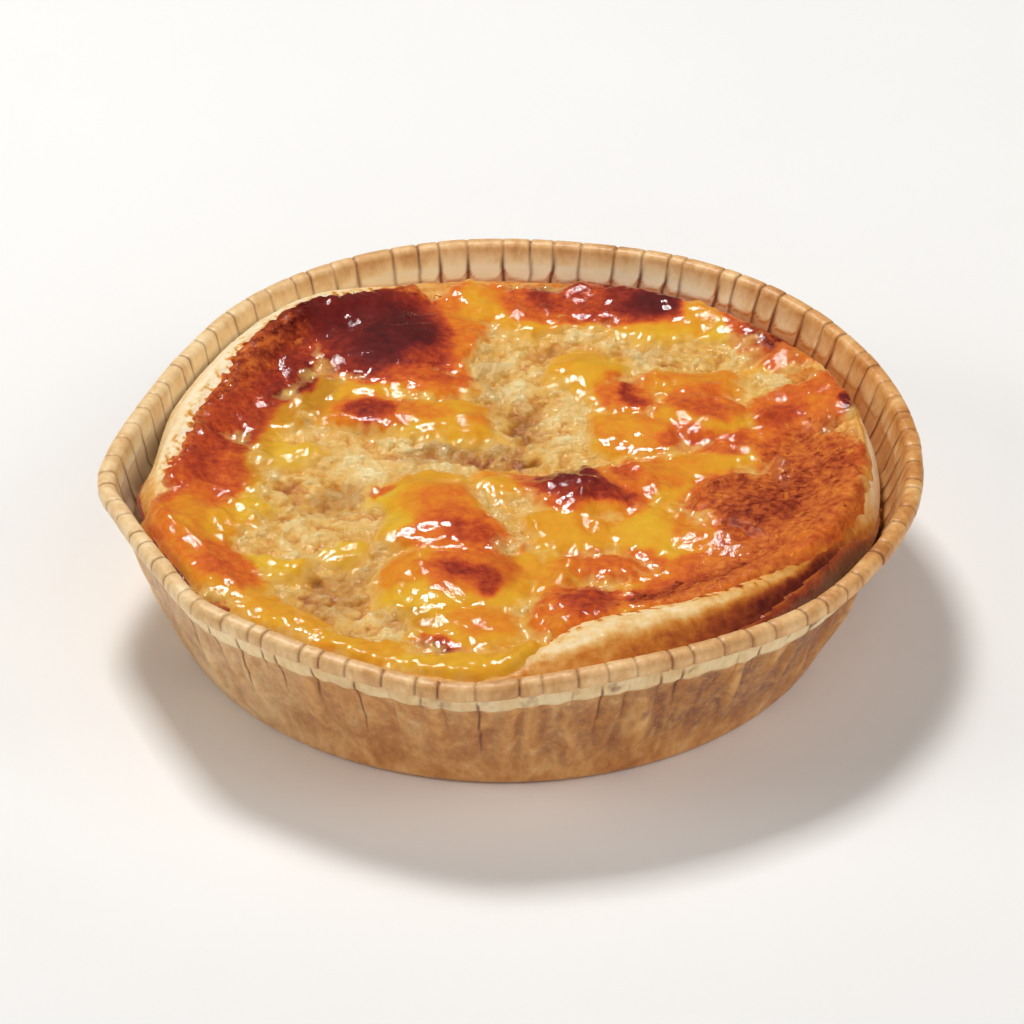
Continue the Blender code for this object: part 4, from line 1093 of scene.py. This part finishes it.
def cheese_material():
    m = Nodes("browned_cheese")
    tone, flaky = m.attribute("tone"), m.attribute("flaky")
    speckle = m.flicker(1.0, 1.2, 4.0, 0.65, 0.3)
    cloud = m.flicker(1.0, 5.0, 4.0, 0.6, 0.8)
    baked = m.math("SUBTRACT", m.span(tone, 0.2, 0.6, 0.022, 0.10), m.span(tone, 0.7, 0.9, 0.0, 0.05))
    spread = m.math("ADD", baked, m.math("MULTIPLY", flaky, 0.05))
    mottled = m.math("ADD", tone, m.math("MULTIPLY", speckle, spread))
    mottled = m.math("ADD", mottled, m.math("MULTIPLY", cloud, 0.055))
    colour = m.ramp(mottled, (
        (0.00, srgb(240, 205, 100)), (0.14, srgb(240, 186, 44)), (0.28, srgb(238, 158, 36)),
        (0.42, srgb(232, 116, 34)), (0.54, srgb(206, 82, 32)), (0.68, srgb(162, 50, 26)),
        (0.82, srgb(118, 26, 20)), (1.0, srgb(76, 13, 14)),
    ))
    dry = m.ramp(mottled, (
        (0.30, srgb(226, 146, 60)), (0.45, srgb(212, 118, 50)), (0.58, srgb(186, 88, 42)),
        (0.70, srgb(146, 58, 32)), (0.85, srgb(96, 28, 20)),
    ))
    colour = m.mix(flaky, colour, dry)
    # Painted shade in hollows, and juice in thin places.
    colour = m.mix(m.attribute("soaked_and_shaded"), colour, SOAK_AND_SHADE_TINT, "MULTIPLY")
    edge = m.math("ADD", m.attribute("sheet"), m.flicker(0.7, 2.4, 3.0))
    creamy = m.ramp(m.noise(1.6, 3.0, 0.6), ((0.3, srgb(232, 176, 78)), (0.7, srgb(250, 214, 134))))
    colour = m.mix(m.span(edge, -0.2, 1.5, 0.85, 0.0), colour, creamy)
    glint = m.span(m.attribute("glint"), 0.0, 1.0, 0.3, 1.0)
    fine = m.math("MULTIPLY", m.noise(0.9, 2.0, 0.5, 1.5), glint)
    normal = m.bump(fine, 0.07, before=m.bump(m.noise(2.6, 2.0, 0.5, 0.5), 0.12))
    wet = m.math("MAXIMUM", m.span(flaky, 0.3, 0.6, 1.0, 0.05), m.span(m.attribute("glint"), 0.3, 0.6))
    return m.finish(colour, 0.5, normal, coat=wet, Coat_Roughness=0.03, Coat_IOR=2.0,
                    Specular_IOR_Level=0.05)


def filling_material():
    m = Nodes("filling")
    curds = m.lumps(1.3)
    # Painted shade and light: darker between the lumps and in low places, paler on their tops.
    shade = m.math("ADD", m.attribute("relief"), m.span(curds, 0.1, 0.6, 0.18, -0.18))
    colour = m.ramp(m.span(shade, -1.0, 0.6), (
        (0.0, srgb(150, 76, 28)), (0.25, srgb(212, 134, 54)), (0.5, srgb(244, 193, 103)),
        (1.0, srgb(255, 235, 174)),
    ))
    film = m.math("MAXIMUM", m.span(m.attribute("near"), 0.5, 1.0, 0.0, 0.55),
                  m.span(m.noise(8.0, 2.0), 0.42, 0.62, 0.0, 0.5))
    colour = m.mix(film, colour, srgb(232, 172, 66))
    # Painted shade in hollows, and juice in thin places.
    colour = m.mix(m.attribute("soaked_and_shaded"), colour, SOAK_AND_SHADE_TINT, "MULTIPLY")
    normal = m.bump(m.math("SUBTRACT", m.noise(0.7, 3.0, 0.6), curds), 0.45)
    return m.finish(colour, 0.55, normal, Coat_Weight=1.0, Coat_Roughness=0.04, Coat_IOR=2.0,
                    Specular_IOR_Level=0.05)


def pastry_material():
    m = Nodes("pastry")
    speckle = m.flicker(0.07, 1.1, 5.0, 0.65)
    colour = m.ramp(m.math("ADD", m.attribute("tone"), speckle), (
        (0.0, srgb(250, 232, 198)), (0.18, srgb(240, 206, 146)), (0.36, srgb(226, 166, 88)),
        (0.52, srgb(204, 124, 46)), (0.68, srgb(160, 74, 34)), (0.85, srgb(104, 36, 24)),
        (1.0, srgb(60, 16, 14)),
    ))
    normal = m.bump(m.noise(0.9, 4.0, 0.65), 0.12)
    return m.finish(colour, 0.6, normal, coat=m.attribute("gloss"), Coat_Roughness=0.04,
                    Specular_IOR_Level=0.1)


def paper_material():
    m = Nodes("baking_paper")
    fine = m.span(m.noise(1.1, 4.0, 0.6, 0.0, 0.5), 0.2, 0.8, -0.12, 0.12)
    mottle = m.math("ADD", m.noise(5.0, 5.0, 0.62, 0.6, 0.5), fine)
    colour = m.ramp(mottle, (
        (0.30, srgb(184, 115, 58)), (0.45, srgb(210, 144, 78)), (0.60, srgb(228, 170, 103)),
        (0.75, srgb(242, 199, 138)),
    ))
    cream = m.ramp(mottle, ((0.3, srgb(236, 196, 134)), (0.6, srgb(255, 232, 184))))
    # Paler paper on the strip, and painted light: the left side and the inside painted paler, the inside up
    # to near white.
    colour = m.mix(m.span(m.attribute("pale"), 0.0, 1.0), colour, cream)
    colour = m.mix(m.span(m.attribute("pale"), 1.0, 1.3), colour, srgb(255, 240, 204))
    # Real smudges in patches, and fold valleys darkened as painted shade.
    smudge_and_painted_fold_shade = m.math("MULTIPLY", m.attribute("smudge_and_painted_fold_shade"), m.span(m.noise(1.6, 4.0, 0.7), 0.35, 0.65, 0.25, 1.0))
    colour = m.mix(smudge_and_painted_fold_shade, colour, srgb(134, 82, 64))
    colour = m.mix(m.attribute("soaked_and_shaded"), colour, srgb(200, 112, 34))
    colour = m.mix(m.span(m.attribute("crease"), 0.05, 0.9, 0.0, 0.9), colour, srgb(112, 56, 32))
    normal = m.bump(m.noise(1.2, 4.0, 0.65, 0.0, 0.6), 0.14)
    return m.finish(colour, 0.38, normal, Specular_IOR_Level=0.35)


def juice_material():
    m = Nodes("caramelised_juice")
    shade = m.math("ADD", m.attribute("depth"), m.flicker(0.3, 2.2, 3.0))
    colour = m.ramp(m.span(shade, -0.2, 1.6), (
        (0.0, srgb(200, 104, 36)), (0.25, srgb(158, 60, 24)), (0.6, srgb(104, 24, 14)),
        (1.0, srgb(70, 12, 10)),
    ))
    normal = m.bump(m.noise(0.9, 3.0, 0.6, 0.6), 0.25)
    return m.finish(colour, 0.4, normal, Coat_Weight=1.0, Coat_Roughness=0.03, Coat_IOR=2.0,
                    Specular_IOR_Level=0.2)


def floor_material():
    m = Nodes("studio_floor")
    tone = m.noise(60.0, 2.0)
    colour = m.ramp(tone, ((0.0, (0.90, 0.90, 0.90, 1)), (1.0, (0.94, 0.94, 0.94, 1))))
    return m.finish(colour, 0.8)


# ---------------------------------------------------------------- studio

WARM_WHITE = (1.0, 0.98, 0.95)


def make_camera():
    """A long lens above the front; its place is in metres."""
    elevation = math.radians(33.0)
    distance = 0.7306
    aim = Vector((0.0011, 0.00041, 0.01434))
    camera = bpy.data.cameras.new("camera")
    camera.lens = 169.3
    camera.sensor_width = 36.0
    camera.clip_end = 20.0
    obj = bpy.data.objects.new("camera", camera)
    obj.location = aim + distance * Vector((0.0, -math.cos(elevation), math.sin(elevation)))
    obj.rotation_euler = (math.pi / 2 - elevation, 0.0, 0.0)
    bpy.context.scene.collection.objects.link(obj)
    bpy.context.scene.camera = obj


def add_light(name, azimuth, elevation, distance, size, watts, mirrored=False, lighting=True):
    """A square area light that looks at the object; azimuth 0 is the front, 90 the right.

    One that isn't mirrored doesn't show in the gloss, and one that isn't lighting shows there alone.
    """
    light = bpy.data.lights.new(name, "AREA")
    light.size = size
    light.energy = watts
    light.color = WARM_WHITE
    a, e = math.radians(azimuth), math.radians(elevation)
    obj = bpy.data.objects.new(name, light)
    obj.location = distance * Vector((math.sin(a) * math.cos(e), -math.cos(a) * math.cos(e), math.sin(e)))
    obj.rotation_euler = (Vector((0, 0, 0.02)) - obj.location).to_track_quat("-Z", "Y").to_euler()
    obj.visible_glossy = mirrored
    obj.visible_diffuse = lighting
    bpy.context.scene.collection.objects.link(obj)


def make_studio():
    """A plain pale floor under soft lights."""
    bpy.ops.mesh.primitive_plane_add(size=6.0, location=(0, 0, CAD_BOX[0][2]))
    floor = bpy.context.object
    floor.name = "studio_floor"
    floor.data.materials.append(floor_material())
    world = bpy.data.worlds.new("studio")
    world.use_nodes = True
    background = world.node_tree.nodes["Background"]
    background.inputs["Color"].default_value = (*WARM_WHITE, 1.0)
    background.inputs["Strength"].default_value = 0.06
    bpy.context.scene.world = world
    add_light("key", 205, 64, 0.9, 0.2, 5.2)
    add_light("softbox", 205, 64, 0.9, 0.24, 6.5, mirrored=True, lighting=False)
    add_light("top_fill", 35, 52, 1.1, 0.7, 2.3)
    add_light("left_fill", -80, 28, 1.2, 0.5, 4.0)
    add_light("right_fill", 75, 34, 1.2, 0.6, 2.8)
    add_light("front_fill", 5, 14, 1.3, 0.8, 2.9)
    bpy.context.scene.view_settings.view_transform = "Standard"
    bpy.context.scene.view_settings.look = "None"


def dress(piece, node, material):
    """Gives a piece its material in a slot and its body, and hides the solid it replaces, if any."""
    piece.data.materials.append(material)
    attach(piece, "root")
    if node:
        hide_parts(node)


def main():
    make_camera()
    make_studio()
    dress(make_case(), "paper_case", paper_material())
    dress(make_crust(), "crust", pastry_material())
    dress(make_filling(), "filling", filling_material())
    browned = cheese_material()
    dress(make_cheese(), "cheese", browned)
    dress(make_juice(), "", juice_material())
    dress(make_flakes(), "", browned)
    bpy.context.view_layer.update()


main()
